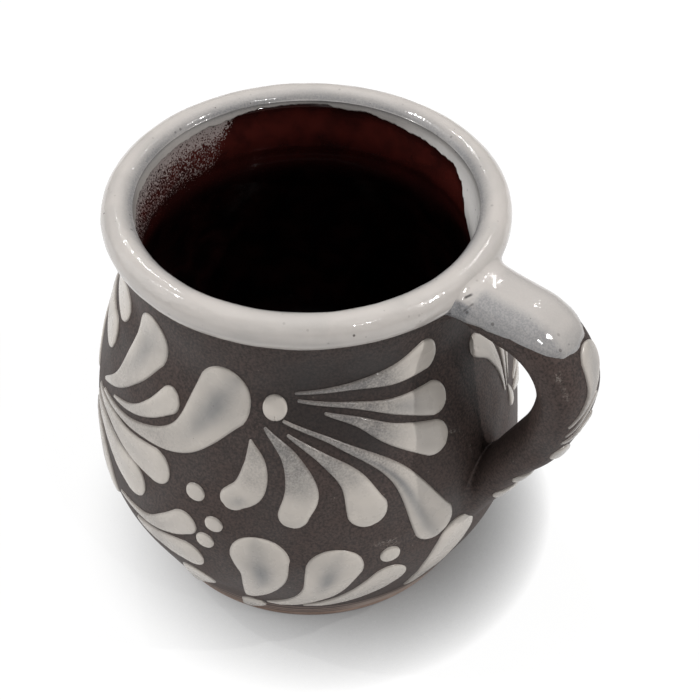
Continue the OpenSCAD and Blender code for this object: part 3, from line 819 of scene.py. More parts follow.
mark(brown_lining, "painted_deep_shade", painted_depth_shade)
mark(brown_lining, "spray", mist)
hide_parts("inner_glaze")
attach(brown_lining, "root")
print("lining faces:", len(brown_lining.data.polygons))

# %% [markdown]
# The handle is a pulled strap: it leaves the rim on a short straight arm, bends down, and comes back to
# the belly on a straight tail. A bevelled Bezier curve would be quick, but it is hard to tie to sizes. So
# the middle line is a chain of straights and arcs that touch, and a function gives places on the skin.

# %% The handle's middle line
handle_w, handle_t, handle_reach = 14.8, 9.8, 14.3
arm_low, arm_drop, bend_curve, grip_lean = 1.8, math.radians(12), 12.4, math.radians(5)
root_high, tail_share = 4.3, 0.25
arm_p = Vector((rim_r, rim_z - arm_low))
arm_run = belly_r + handle_reach - bend_curve * (1 - math.sin(arm_drop)) - rim_r
arm_len = arm_run / math.cos(arm_drop)
arm_end = arm_p + arm_len * Vector((math.cos(arm_drop), -math.sin(arm_drop)))
bend_c = arm_end - bend_curve * Vector((math.sin(arm_drop), math.cos(arm_drop)))


def facing(a):
    """One step in the direction of an angle."""
    return Vector((math.cos(a), math.sin(a)))


grip_p = bend_c + bend_curve * facing(-grip_lean)
root_p = Vector((belly_r, belly_z + root_high))
to_root = grip_p - root_p
root_lean = math.atan2(to_root.x, to_root.y)
tail_lean = root_lean + tail_share * (root_lean - grip_lean)
grip_curve = (to_root.length * math.sin(tail_lean - root_lean) / math.sin(tail_lean - grip_lean)
              / math.tan((tail_lean - grip_lean) / 2))
grip_c = grip_p - grip_curve * facing(-grip_lean)
tail_p = grip_c + grip_curve * facing(-tail_lean)
tail_len = (tail_p - root_p).length + handle_t / math.sin(tail_lean)
bend_len = bend_curve * (math.pi / 2 - arm_drop + grip_lean)
grip_len = grip_curve * (tail_lean - grip_lean)
strap_len = arm_len + bend_len + grip_len + tail_len


def strap_at(s):
    """Middle of the strap at a length from the rim, and the angle that faces away from the bend."""
    if s <= arm_len:
        return arm_p + s * facing(-arm_drop), math.pi / 2 - arm_drop
    s -= arm_len
    if s <= bend_len:
        a = math.pi / 2 - arm_drop - s / bend_curve
        return bend_c + bend_curve * facing(a), a
    s -= bend_len
    if s <= grip_len:
        a = -grip_lean - s / grip_curve
        return grip_c + grip_curve * facing(a), a
    s -= grip_len
    return tail_p - s * facing(math.pi / 2 - tail_lean), -tail_lean


face_round = 2.7


def strap_skin(s, across):
    """A place on the strap's surface. across is 0 on the flattened outer face and turns round the strap."""
    middle, a = strap_at(s)
    c, side = math.cos(across), math.sin(across)
    face_t = 3.7 + 1.0 * smooth((s - 5.0) / 11.0) - 1.2 * smooth((54.0 - middle.y) / 8.0)
    out = face_t * (1 - abs(side) ** face_round) ** (1 / face_round) if c > 0 else handle_t / 2 * c
    return Vector((middle.x + out * math.cos(a), handle_w / 2 * side, middle.y + out * math.sin(a)))


print("strap length in mm:", round(strap_len, 1))

# %% [markdown]
# To end a line of the strap on the pot, the script must know how far a place is from the pot's outside.
# A BVH tree could find that on the mesh, but the outside is a turned line, so the distance from a chain
# of short straight pieces is enough.

# %% Distance from the outside of the pot
wall_parts, roll_parts = 160, 60
outline = np.array([wall_at(wall_run * i / wall_parts) for i in range(wall_parts + 1)]
                   + arc((rim_r, rim_z), roll_r, roll_start, math.pi, roll_parts))


def off_wall(p):
    """Distance of a place from the pot's outside, negative inside it, and the nearest spot on it."""
    r = math.hypot(p.x, p.y)
    spot = np.array((r, p.z))
    a, b = outline[:-1], outline[1:]
    along = b - a
    t = np.clip(((spot - a) * along).sum(1) / (along * along).sum(1), 0, 1)
    near = a + along * t[:, None]
    gaps = np.hypot(*(near - spot).T)
    k = int(gaps.argmin())
    side = along[k][1] * (r - near[k][0]) - along[k][0] * (p.z - near[k][1])
    turn_x, turn_y = p.x / r, p.y / r
    nearest = Vector((near[k][0] * turn_x, near[k][0] * turn_y, near[k][1]))
    normal = Vector((along[k][1] * turn_x, along[k][1] * turn_y, -along[k][0])).normalized()
    return math.copysign(gaps[k], side), nearest, normal


print("bend stands off the wall by mm:", round(off_wall(strap_skin(arm_len + 10, 0))[0], 1))

# %% [markdown]
# A root is where the strap was pressed on and wiped with a finger. A boolean would leave a hard crease
# there. So each line of the strap is followed towards the pot, and where it comes near, it turns into a
# curve that lies down on the wall and sinks just below it.

# %% The wiped roots
hollow_rows = 12
follow_step, hollow_pull, land_in, sunk_on, sunk_in = 0.12, 0.72, 0.12, 0.5, 0.6


def softness(across, at_rim):
    """How far off the wall and along it the wiped hollow reaches, in mm: tight on top, wide below."""
    under, side = 0.5 - 0.5 * math.cos(across), math.sin(across) ** 4
    if at_rim:
        return 1.7 + 2.0 * under, 1.9 + 2.3 * under
    return 0.35 + 0.9 * under ** 2 + 1.6 * side, 0.4 + 0.9 * under ** 2 + 2.2 * side


def root_line(across, at_rim):
    """Follows one line of the strap to the pot. Gives where the hollow starts, and its curve."""
    s = arm_len * 0.9 if at_rim else strap_len - tail_len * 0.9
    step = -follow_step if at_rim else follow_step
    soft_off, soft_along = softness(across, at_rim)
    begin, gap = None, 1.0
    while gap > 0 and 0 <= s <= strap_len:
        s += step
        gap = off_wall(strap_skin(s, across))[0]
        if begin is None and gap < soft_off:
            begin = s
    begin = s if begin is None else begin
    corner, leave = strap_skin(s, across), strap_skin(begin, across)
    a = strap_at(s)[1]
    outward = Vector((math.cos(across) * math.cos(a), math.sin(across), math.cos(across) * math.sin(a)))
    normal = off_wall(corner)[2]
    away = outward - normal * outward.dot(normal)
    away = away.normalized() if away.length > 1e-4 else Vector((0, 0, -1))
    spot = off_wall(corner + away * soft_along)
    land = spot[1] - spot[2] * land_in
    p1, p2 = leave.lerp(corner, hollow_pull), land.lerp(corner, hollow_pull)
    curve = []
    for i in range(1, hollow_rows + 1):
        t, u = i / hollow_rows, 1 - i / hollow_rows
        curve.append(u ** 3 * leave + 3 * t * u ** 2 * p1 + 3 * t * t * u * p2 + t ** 3 * land)
    sunk = off_wall(land + away * sunk_on)
    curve.append(sunk[1] - sunk[2] * sunk_in)
    return begin, curve


print("hollow of the top line starts along the strap at mm:", round(root_line(0, True)[0], 2))

# %% [markdown]
# The skin is a ring of such lines, each with its two roots and the strap between them, netted into one
# closed mesh. Dark slip covers it, as it covers the wall.

# %% The handle's skin
ways, strap_rows = 96, 110
handle_lines, strap_ends = [], []
for k in range(ways):
    across = 2 * math.pi * k / ways
    top, top_curve = root_line(across, True)
    low, low_curve = root_line(across, False)
    line = list(reversed(top_curve))
    for i in range(strap_rows + 1):
        line.append(strap_skin(top + (low - top) * i / strap_rows, across))
    handle_lines.append(line + low_curve)
    strap_ends.append((top, low))
line_rows = len(handle_lines[0])
verts = [p for line in handle_lines for p in line]
faces = net(ways, line_rows, closed=False)
for j in (0, line_rows - 1):
    verts.append(sum((line[j] for line in handle_lines), Vector((0, 0, 0))) / ways)
    faces += [(len(verts) - 1, k * line_rows + j, (k + 1) % ways * line_rows + j) for k in range(ways)]
handle_strap = finished_mesh("handle_strap", verts, faces)
handle_strap.data.materials.append(dark_slip)
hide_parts("handle", "lower_joint")
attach(handle_strap, "root")
print("handle faces:", len(handle_strap.data.polygons))

# %% [markdown]
# White glaze was poured over the top of the handle together with the rim. Where it stops is a short
# table: a length along the strap, and how far round from the outer face the glaze reaches there. The
# helper gives the distance to that edge, so that the glaze can thin out before it ends.

# %% The edge of the handle's glaze
glaze_edge = [(-4, 130), (2.5, 117), (7.75, 90), (12, 84), (15.5, 75), (18, 63), (19.3, 53), (20.5, 40),
              (21.1, 32), (21.5, 17), (21.8, 0)]
round_mm = 0.11


def glaze_depth(s, across):
    """Distance inside the glaze's edge in mm: positive is covered."""
    side = math.degrees(abs(math.atan2(math.sin(across), math.cos(across))))
    spot, near, inside = Vector((s, side * round_mm)), 99.0, False
    for (s0, a0), (s1, a1) in zip(glaze_edge, glaze_edge[1:]):
        start, way = Vector((s0, a0 * round_mm)), Vector((s1 - s0, (a1 - a0) * round_mm))
        t = min(max((spot - start).dot(way) / way.dot(way), 0), 1)
        near = min(near, (spot - start - way * t).length)
        if s0 <= s <= s1:
            inside = side < a0 + (a1 - a0) * (s - s0) / (s1 - s0)
    return near if inside else -near


print("middle of the arm lies inside the glaze's edge by mm:", round(glaze_depth(10.0, 0.0), 1))

# %% [markdown]
# The glaze lies thick on the arm and thins to a mottled grey edge at the sides and on the bend. Its shell
# follows the strap and dips below the surface past that edge, so the two surfaces cross in a soft, uneven
# line. A colour change on the strap would be simpler, but it would lie flat.

# %% The handle's glaze
glaze_rows, glaze_dip = hollow_rows + 1 + 52, 0.16
strap_normals = [v.normal.copy() for v in handle_strap.data.vertices]
verts, thin_values = [], []
for k in range(ways):
    across = 2 * math.pi * k / ways
    side = math.degrees(abs(math.atan2(math.sin(across), math.cos(across))))
    near_side = 1.0 if math.sin(across) < 0 else 0.35
    top, low = strap_ends[k]
    out_line, in_line, thin_line = [], [], []
    for j in range(glaze_rows):
        p, n = handle_lines[k][j], strap_normals[k * line_rows + j]
        s = top + (low - top) * (j - hollow_rows - 1) / strap_rows
        if j <= hollow_rows:
            s = top - 0.15 * (hollow_rows - j)
        depth = glaze_depth(s, across) + 0.3 * noise.noise(p / 4.0) + 0.12 * noise.noise(p / 1.2)
        thick = 0.07 + 0.26 * smooth((j - 2) / hollow_rows)
        out_line.append(p + n * (-glaze_dip + (thick + glaze_dip) * smooth(depth / 0.9 + 0.3)))
        in_line.append(p - n * 0.5)
        wedge = smooth((side - 56) / 10) * (1 - smooth((s - 5.0) / 0.7))
        lower = max(0.18, near_side * min(0.8, 1.1 * smooth(side / 50))) * smooth((s - 3.5) / 2)
        bend = 0.75 * (1 - smooth((24.0 - s) / 8.5))
        thin_line.append(max(0.85 - smooth(depth / 1.1), near_side * wedge, lower, bend))
    verts += out_line + in_line[::-1]
    thin_values += thin_line + thin_line[::-1]
handle_white = finished_mesh("handle_white", verts, net(ways, 2 * glaze_rows))
handle_white.data.materials.append(white_glaze)
layer = handle_white.data.attributes.new("thin", "FLOAT", "POINT")
layer.data.foreach_set("value", thin_values)
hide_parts("handle_glaze", "upper_joint")
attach(handle_white, "root")
print("handle glaze faces:", len(handle_white.data.polygons))

# %% [markdown]
# The ornament is slip trailed on in petals and dots. Each petal is a spine through four places, with a
# half width at each and a round head. It is drawn flat first, on a chart of the wall: angle round
# the pot across, run up the wall along. The third coordinate of the flat sheet is not a place but a
# share of the slip's height: domed on top, a little hollow in the middle, and below zero underneath.

# %% Petal tables
front_petals = [
    [[-57.3, 0.859, 0.02], [-41, 0.868, 0.06], [-27.5, 0.872, 0.165], [-17.6, 0.891, 0.275]],
    [[-56.5, 0.84, 0.025], [-41, 0.82, 0.05], [-29, 0.793, 0.12], [-17, 0.773, 0.275]],
    [[-49, 0.808, 0.025], [-40, 0.778, 0.075], [-31, 0.728, 0.165], [-19.2, 0.676, 0.295]],
    [[-60.6, 0.789, 0.025], [-46.3, 0.732, 0.05], [-30.7, 0.622, 0.142], [-20.8, 0.432, 0.365]],
    [[-59.3, 0.755, 0.025], [-50.5, 0.699, 0.08], [-43, 0.631, 0.185], [-39.3, 0.541, 0.325]],
    [[-65.6, 0.767, 0.025], [-58.8, 0.696, 0.125], [-55.8, 0.607, 0.255], [-57.8, 0.541, 0.235]],
    [[-69.4, 0.731, 0.025], [-67.9, 0.667, 0.18], [-69.3, 0.601, 0.24], [-73.3, 0.566, 0.21]],
]
fan_petals = [
    [[-127, 0.623, 0.033], [-118, 0.686, 0.135], [-111.8, 0.772, 0.33], [-107.4, 0.855, 0.485]],
    [[-119, 0.626, 0.025], [-109, 0.658, 0.07], [-101.6, 0.701, 0.14], [-95.6, 0.753, 0.225]],
    [[-126.5, 0.59, 0.033], [-105.6, 0.623, 0.09], [-89.6, 0.68, 0.265], [-79, 0.814, 0.55]],
    [[-131.4, 0.569, 0.04], [-120, 0.569, 0.115], [-109.6, 0.558, 0.21], [-97.6, 0.559, 0.325]],
    [[-132.2, 0.539, 0.05], [-121, 0.505, 0.18], [-113, 0.477, 0.29], [-107, 0.464, 0.36]],
    [[-134, 0.504, 0.04], [-129, 0.443, 0.165], [-125, 0.382, 0.27], [-122.5, 0.322, 0.275]],
]
side_petals = [
    [[-165, 0.833, 0.025], [-152, 0.843, 0.075], [-140, 0.852, 0.185], [-127.6, 0.854, 0.315]],
    [[-163, 0.783, 0.025], [-152, 0.774, 0.085], [-141, 0.761, 0.185], [-131, 0.748, 0.29]],
    [[-169, 0.755, 0.025], [-160, 0.704, 0.15], [-152.4, 0.636, 0.24], [-149.3, 0.541, 0.325]],
    [[-175.6, 0.767, 0.025], [-168, 0.698, 0.2], [-165.8, 0.607, 0.275], [-167.8, 0.541, 0.235]],
]
gap_petals = [
    [[14.2, 0.612, 0.025], [12.7, 0.695, 0.075], [9.7, 0.77, 0.165], [4.5, 0.811, 0.185]],
    [[15.9, 0.613, 0.02], [16.4, 0.66, 0.045], [17, 0.71, 0.075], [17.5, 0.752, 0.1]],
    [[18.2, 0.62, 0.02], [19.3, 0.663, 0.045], [21, 0.708, 0.075], [22.8, 0.743, 0.11]],
    [[17.6, 0.597, 0.025], [18.2, 0.58, 0.06], [18.8, 0.561, 0.09], [19.4, 0.541, 0.11]],
]
low_petals = [
    [[-114, 0.347, 0.033], [-101, 0.359, 0.085], [-93, 0.396, 0.185], [-87.8, 0.432, 0.235]],
    [[-106, 0.316, 0.05], [-98, 0.314, 0.165], [-93, 0.316, 0.24], [-87.3, 0.32, 0.285]],
    [[-97, 0.051, 0.033], [-94.5, 0.091, 0.125], [-91.5, 0.14, 0.25], [-88, 0.192, 0.335]],
    [[-77, 0.046, 0.04], [-75, 0.064, 0.14], [-73.4, 0.083, 0.21], [-72, 0.097, 0.215]],
    [[-72.7, 0.167, 0.033], [-68.9, 0.238, 0.225], [-66.3, 0.316, 0.375], [-66.8, 0.386, 0.485]],
    [[-67, 0.132, 0.033], [-58.5, 0.167, 0.16], [-51.5, 0.249, 0.31], [-47.8, 0.356, 0.465]],
    [[-56, 0.132, 0.033], [-47, 0.163, 0.135], [-39.5, 0.215, 0.265], [-33.3, 0.278, 0.32]],
    [[-24, 0.133, 0.033], [-20.5, 0.194, 0.2], [-17, 0.261, 0.335], [-12.8, 0.331, 0.4]],
]
dot_table = [
    [-63.2, 0.82, 0.225], [-84, 0.547, 0.175], [-78.7, 0.468, 0.16], [-81.4, 0.403, 0.165],
    [-33.4, 0.376, 0.175], [-173.2, 0.82, 0.225], [66, 0.547, 0.175], [71.3, 0.48, 0.16],
    [76.5, 0.435, 0.165], [104, 0.385, 0.175], [86.8, 0.82, 0.225], [178, 0.47, 0.175], [170, 0.4, 0.165],
]
print("petals on the front spray:", len(front_petals))

# %% [markdown]
# A stroke of slip starts thin, swells and ends in a round head. A smooth line through the four places of
# its row gives the middle and the half width together, and both ends are closed with half circles.

# %% The line of a petal


def through(p, t):
    """Smooth line through four places, t from 0 to 3."""
    i = min(int(t), 2)
    f = t - i
    b, c = p[i], p[i + 1]
    a = p[i - 1] if i > 0 else 2 * p[0] - p[1]
    d = p[i + 2] if i < 2 else 2 * p[3] - p[2]
    return (2 * b + (c - a) * f + (2 * a - 5 * b + 4 * c - d) * f * f + (3 * b - a - 3 * c + d) * f ** 3) / 2


def heading(p, t):
    """Direction of that line, as an angle."""
    d = through(p, min(t + 0.11, 3)) - through(p, max(t - 0.11, 0))
    return math.atan2(d.y, d.x)


def petal_rows(p, slump, steps=40, caps=7):
    """Rows across a petal from tail to head: middle, direction, half width, and the way along, 0 to 1."""
    first, last = heading(p, 0), heading(p, 3)
    rows = []
    for i in range(caps):
        t = math.pi / 2 * (1 - (i + 1) / (caps + 1))
        rows.append((p[0].xy - p[0].z * math.sin(t) * facing(first), first, p[0].z * math.cos(t), 0.0))
    for i in range(steps + 1):
        q = through(p, 3 * i / steps)
        rows.append((q.xy, heading(p, 3 * i / steps), q.z, 0.9 * i / steps))
    for i in range(caps):
        t = math.pi / 2 * (i + 1) / (caps + 1)
        rows.append((p[3].xy + (p[3].z + slump) * math.sin(t) * facing(last), last, p[3].z * math.cos(t),
                     0.9 + 0.1 * math.sin(t)))
    tail = p[0].xy - p[0].z * facing(first)
    head = p[3].xy + (p[3].z + slump) * facing(last)
    return rows, tail, head


print("rows along a petal:", len(petal_rows([Vector((i, 0, 1)) for i in range(4)], 0)[0]))

# %% [markdown]
# Slip holds a round edge and sinks a little in the middle as it dries. A bevelled curve could not do
# that, so each petal is a grid of its own. Three numbers ride on each point: how thin the slip is, how
# hollow, and how near its edge.

# %% Flat petal sheets
sheet_cols, sheet_under = 18, -0.35


def dome(v, half):
    """Height share across a stroke: round at its rims, a little hollow in the middle, low where narrow."""
    full = min(1.0, 0.25 + half / 1.6)
    return full * (1 - abs(v) ** 3.2) ** 0.55 * (0.86 + 0.14 * v * v)


def flat_sheets(name, strokes, hollows, slump=0.28):
    """One mesh of closed flat sheets. Each stroke is four places of x, y and half width in mm."""
    verts, faces, marks = [], [], []
    for p, (at, spread, depth, tail_grey, off, wide) in zip(strokes, hollows):
        rows, tail, head = petal_rows(p, slump)
        base, n = len(verts), sheet_cols + 1
        for middle, way, half, along in rows:
            side = facing(way + math.pi / 2)
            half += slump * min(1.0, half / 1.5)
            end_half = max(p[3].z if along > 0.5 else p[0].z, 1e-3)
            cap = 1.0 if 0 < along <= 0.9 else min(1.0, math.sqrt(max(0.02, half / end_half)))
            grey = tail_grey * (1 - smooth((along - 0.35) / 0.55))
            for c in range(n):
                v = 2 * c / sheet_cols - 1
                v = math.copysign(1 - (1 - abs(v)) ** 1.5, v)
                spot = middle + side * half * v
                verts.append((spot.x, spot.y, dome(v, half) * cap))
                pool = depth * math.exp(-((along - at) / spread) ** 2 - ((v - off) / wide) ** 2)
                marks.append((grey, pool, smooth((half * (abs(v) - 1) + 0.45) / 0.4)))
        low = len(verts)
        verts += [(*verts[base + r * n + c][:2], sheet_under) for r in range(len(rows)) for c in (0, n - 1)]
        tips = len(verts)
        verts += [(spot.x, spot.y, z) for spot in (tail, head) for z in (0.0, sheet_under)]
        marks += [(0.0, 0.0, 1.0)] * (len(verts) - low)
        for r in range(len(rows) - 1):
            a, b = base + r * n, base + (r + 1) * n
            faces += [(a + c, a + c + 1, b + c + 1, b + c) for c in range(n - 1)]
            la, lb = low + 2 * r, low + 2 * r + 2
            faces += [(a, b, lb, la), (a + n - 1, la + 1, lb + 1, b + n - 1), (la, lb, lb + 1, la + 1)]
        for r, tip, flip in ((0, tips, False), (len(rows) - 1, tips + 2, True)):
            a, la = base + r * n, low + 2 * r
            ends = [(tip, a + c + 1, a + c) for c in range(n - 1)]
            ends += [(tip, a, la, tip + 1), (tip, tip + 1, la + 1, a + n - 1), (tip + 1, la, la + 1)]
            faces += [tuple(reversed(f)) for f in ends] if flip else ends
    sheet = finished_mesh(name, verts, faces, z_unit=1.0)
    for label, values in zip(("thin", "pool", "edge"), zip(*marks)):
        sheet.data.attributes.new(label, "FLOAT", "POINT").data.foreach_set("value", values)
    return sheet


def chart_places(rows):
    """Places of table rows on the unrolled wall: x round the belly, y up the wall, and a half width."""
    return [[Vector((math.radians(a) * belly_r, run * wall_run, w * petal_w)) for a, run, w in row]
            for row in rows]


print("columns across a petal:", sheet_cols)

# %% [markdown]
# Slip is laid on by Geometry Nodes, once on the wall and once on the handle. Both trees begin and end
# alike, so that is written as helpers. The wall is handed over as a curve, because a tree can sample a
# curve by length. A fixed noise makes the slip's height uneven.

# %% The wall as a curve, and helpers for trees
wall_steps, lumps_per_metre = 480, 230.0
wall_curve = bpy.data.curves.new("wall line", "CURVE")
wall_curve.dimensions = "3D"
spline = wall_curve.splines.new("POLY")
spline.points.add(wall_steps)
for i in range(wall_steps + 1):
    r, z = wall_at(wall_run * i / wall_steps)
    spline.points[i].co = (r * MM, 0, z * MM, 1)
wall_line = bpy.data.objects.new("wall_line", wall_curve)
bpy.context.scene.collection.objects.link(wall_line)


def geometry_tree(name, inputs):
    """Empty Geometry Nodes tree from flat sheets to finished slip."""
    tree = bpy.data.node_groups.new(name, "GeometryNodeTree")
    tree.is_modifier = True
    tree.interface.new_socket("Sheets", in_out="INPUT", socket_type="NodeSocketGeometry")
    for label, kind in inputs:
        tree.interface.new_socket(label, in_out="INPUT", socket_type=kind)
    tree.interface.new_socket("Slip", in_out="OUTPUT", socket_type="NodeSocketGeometry")
    start, end = tree.nodes.new("NodeGroupInput"), tree.nodes.new("NodeGroupOutput")
    return tree, start, end


def uneven_height(tree, share, height, unevenness, seed):
    """Slip height in metres, with smooth fixed noise on it."""
    lumps = place(tree, "ShaderNodeTexNoise", {"noise_dimensions": "4D"}, W=seed, Scale=lumps_per_metre,
                  Detail=1.0)
    lump = times(tree, math_node(tree, "SUBTRACT", lumps.outputs[0], 0.5), unevenness)
    even = times(tree, share, height)
    return times(tree, even, math_node(tree, "ADD", lump, 1.0))


def finish_tree(tree, geometry, position, end, material):
    """Ends a tree: moves the points, keeps real geometry and sets the finish."""
    moved = place(tree, "GeometryNodeSetPosition", Geometry=geometry, Position=position)
    whole = place(tree, "GeometryNodeRealizeInstances", Geometry=moved.outputs[0])
    dressed = place(tree, "GeometryNodeSetMaterial", Geometry=whole.outputs[0], Material=material)
    tree.links.new(dressed.outputs[0], end.inputs[0])


print("points on the wall's curve:", len(spline.points))

# %% [markdown]
# This tree wraps flat sheets round the pot. It samples the wall's curve at the length that a sheet's y
# gives, turns it by the angle that x gives, and moves out by the slip's height. One tree serves every
# spray and fan; only its turn and its finish change.

# %% Tree that wraps slip on the wall
wrap, start, end = geometry_tree("Slip On Wall", [
    ("Wall Line", "NodeSocketObject"), ("Chart Radius", NUM), ("Turn", NUM), ("Slip Height", NUM),
    ("Unevenness", NUM), ("Seed", NUM), ("Finish", "NodeSocketMaterial")])
spot = place(wrap, "ShaderNodeSeparateXYZ", Vector=wrap.nodes.new("GeometryNodeInputPosition").outputs[0])
line = place(wrap, "GeometryNodeObjectInfo", Object=start.outputs["Wall Line"])
on_line = place(wrap, "GeometryNodeSampleCurve", {"mode": "LENGTH", "use_all_curves": True},
                Curves=line.outputs["Geometry"], Length=spot.outputs[1])
base = place(wrap, "ShaderNodeSeparateXYZ", Vector=on_line.outputs["Position"])
lean = place(wrap, "ShaderNodeSeparateXYZ", Vector=on_line.outputs["Tangent"])
height = uneven_height(wrap, spot.outputs[2], start.outputs["Slip Height"], start.outputs["Unevenness"],
                       start.outputs["Seed"])
radius = times(wrap, lean.outputs[2], height, base.outputs[0])
level = math_node(wrap, "SUBTRACT", base.outputs[2], times(wrap, lean.outputs[0], height))
angle = math_node(wrap, "ADD", math_node(wrap, "DIVIDE", spot.outputs[0], start.outputs["Chart Radius"]),
                  start.outputs["Turn"])
beside = times(wrap, angle, 180 / math.pi / press_wide[0], -press_at[0] / press_wide[0])
above = times(wrap, level, 1 / (press_wide[1] * MM), -press_at[1] / press_wide[1])
off = times(wrap, above, above, times(wrap, beside, beside))
push = math_node(wrap, "EXPONENT", times(wrap, off, -1.0))
radius = times(wrap, push, -press_deep * MM, radius)
round_x = times(wrap, radius, math_node(wrap, "COSINE", angle))
round_y = times(wrap, radius, math_node(wrap, "SINE", angle))
wrapped = place(wrap, "ShaderNodeCombineXYZ", X=round_x, Y=round_y, Z=level)
finish_tree(wrap, start.outputs[0], wrapped.outputs[0], end, start.outputs["Finish"])
print("nodes in the wrap tree:", len(wrap.nodes))

# %% [markdown]
# A tree could stay on its sheet as a modifier. Here its result is kept as a plain mesh, so that each
# spray stands at the origin like every other piece and needs neither the sheet nor the curve.

# %% Running a tree


def run_tree(sheet, tree, values):
    """Runs a tree on a flat sheet and keeps the result as a plain mesh at the origin."""
    modifier = sheet.modifiers.new("slip", "NODES")
    modifier.node_group = tree
    names = {s.name: s.identifier for s in tree.interface.items_tree if s.in_out == "INPUT"}
    for label, value in values.items():
        modifier[names[label]] = value
    sheet.update_tag()
    graph = bpy.context.evaluated_depsgraph_get()
    made = bpy.data.meshes.new_from_object(sheet.evaluated_get(graph))
    sheet.modifiers.remove(modifier)
    sheet.data = made


def slip_on_wall(name, node, strokes, turn, seed, hollows=None, slump=0.28):
    """One finished piece of slip on the wall, turned by an angle in degrees."""
    sheet = flat_sheets(name, strokes, hollows or [plain] * len(strokes), slump)
    run_tree(sheet, wrap, {
        "Wall Line": wall_line, "Chart Radius": belly_r * MM, "Turn": math.radians(turn),
        "Slip Height": slip_t * MM, "Unevenness": 0.5, "Seed": float(seed), "Finish": white_slip})
    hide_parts(node)
    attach(sheet, "root")
    print(name, "faces:", len(sheet.data.polygons), "finish:", [m.name for m in sheet.data.materials])


def turned_rows(rows, turn):
    """Table rows moved round the pot by an angle in degrees."""
    return [[[a + turn, run, w] for a, run, w in row] for row in rows]


print("a turned row starts at:", turned_rows(front_petals[:1], 150)[0][0])

# %% [markdown]
# Wet slip drew back from the middle of the big heads and left them grey. Each petal has six numbers for
# that hollow: where it lies along the petal, how long, how deep, how grey the tail is, how far off the
# middle, and how wide. Most petals are plain and share one row.

# %% Hollows in the petals
plain = (0.7, 0.2, 0.12, 0.4, 0.0, 0.42)
front_hollows = [
    (0.7, 0.15, 0.05, 0.85, 0.0, 0.42), (0.68, 0.12, 0.5, 0.8, 0.0, 0.9), (0.6, 0.15, 0.2, 0.8, 0.0, 0.7),
    (0.66, 0.3, 0.75, 0.75, -0.35, 0.34), (0.55, 0.2, 0.15, 0.7, 0.2, 0.5), (0.5, 0.2, 0.15, 0.72, 0.0, 0.5),
    (0.84, 0.1, 0.45, 0.45, 0.3, 0.4)]
fan_hollows, low_hollows = [plain] * len(fan_petals), [plain] * len(low_petals)
fan_hollows[0], fan_hollows[2] = (0.75, 0.25, 0.5, 0.4, 0.0, 0.5), (0.84, 0.16, 0.75, 0.45, 0.0, 0.46)
low_hollows[4:7] = [(0.7, 0.26, 0.85, 0.1, 0.0, 0.38), (0.8, 0.16, 0.7, 0.2, 0.1, 0.34),
                    (0.7, 0.2, 0.2, 0.2, 0.0, 0.42)]
print("petals with their own hollow:", sum(h != plain for h in front_hollows + fan_hollows + low_hollows))

# %% [markdown]
# Now the tree runs once for each spray, fan or group of dots. The painter repeated a few motifs, so the
# unseen side takes the same petals, turned round the pot.

# %% Sprays, fans and dots
short_fan = [fan_petals[i] for i in (0, 1, 3, 4)]
far_gap = gap_petals + turned_rows(short_fan, 156)
far_low = turned_rows(low_petals[1:8], 130) + turned_rows(low_petals[1:7], 250)
far_low_hollows = low_hollows[1:8] + low_hollows[1:7]
for seed, (name, node, petals, turn, hollows) in enumerate((
        ("front_petals", "front_spray", front_petals, 0, front_hollows),
        ("fan_petals", "left_fan", fan_petals, 0, fan_hollows),
        ("side_petals", "left_spray", side_petals, 0, None),
        ("gap_petals", "handle_fan", far_gap, 0, None),
        ("back_petals", "back_spray", front_petals, 150, front_hollows),
        ("back_fan_petals", "back_fan", short_fan, -92, None),
        ("low_petals", "foot_petals", low_petals, 0, low_hollows),
        ("back_low_petals", "back_foot_petals", far_low, 0, far_low_hollows)), 1):
    slip_on_wall(name, node, chart_places(petals), turn, seed, hollows)
dot_strokes = [[spot + Vector((0.02 * i, 0, 0)) for i in (-1.5, -0.5, 0.5, 1.5)]
               for spot in chart_places([dot_table])[0]]
dot_hollows = [(0.5, 0.2, 0.1, 0.0, 0.0, 0.42)] * len(dot_strokes)
slip_on_wall("slip_dots", "dots", dot_strokes, 0, 9, dot_hollows, 0.02)
bpy.data.objects.remove(wall_line)

# %% [markdown]
# The same flat sheets dress the handle's outer face. A chart of the strap would be awkward, because
# its roots flare, so this tree shoots a ray from outside at the handle and sets the slip where it lands.

# %% Tree that drops slip on the handle
land, start, end = geometry_tree("Slip On Handle", [
    ("Handle", "NodeSocketObject"), ("Slip Height", NUM), ("Unevenness", NUM), ("Seed", NUM),
    ("Finish", "NodeSocketMaterial")])
spot = place(land, "ShaderNodeSeparateXYZ", Vector=land.nodes.new("GeometryNodeInputPosition").outputs[0])
strap = place(land, "GeometryNodeObjectInfo", Object=start.outputs["Handle"])
outside = place(land, "ShaderNodeCombineXYZ", X=0.2, Y=spot.outputs[0], Z=spot.outputs[1])
ray = place(land, "GeometryNodeRaycast", Target_Geometry=strap.outputs["Geometry"],
            Source_Position=outside.outputs[0], Ray_Direction=(-1, 0, 0), Ray_Length=1.0)
height = uneven_height(land, spot.outputs[2], start.outputs["Slip Height"], start.outputs["Unevenness"],
                       start.outputs["Seed"])
rise = scaled(land, ray.outputs["Hit Normal"], height)
set_on = vector_node(land, "ADD", ray.outputs["Hit Position"], rise)
finish_tree(land, start.outputs[0], set_on, end, start.outputs["Finish"])
print("nodes in the handle tree:", len(land.nodes))

# %% [markdown]
# Six strokes cross the handle's outer face like rungs. Their table gives shares of the strap's width
# across and of the handle's height up, so they follow if those change.

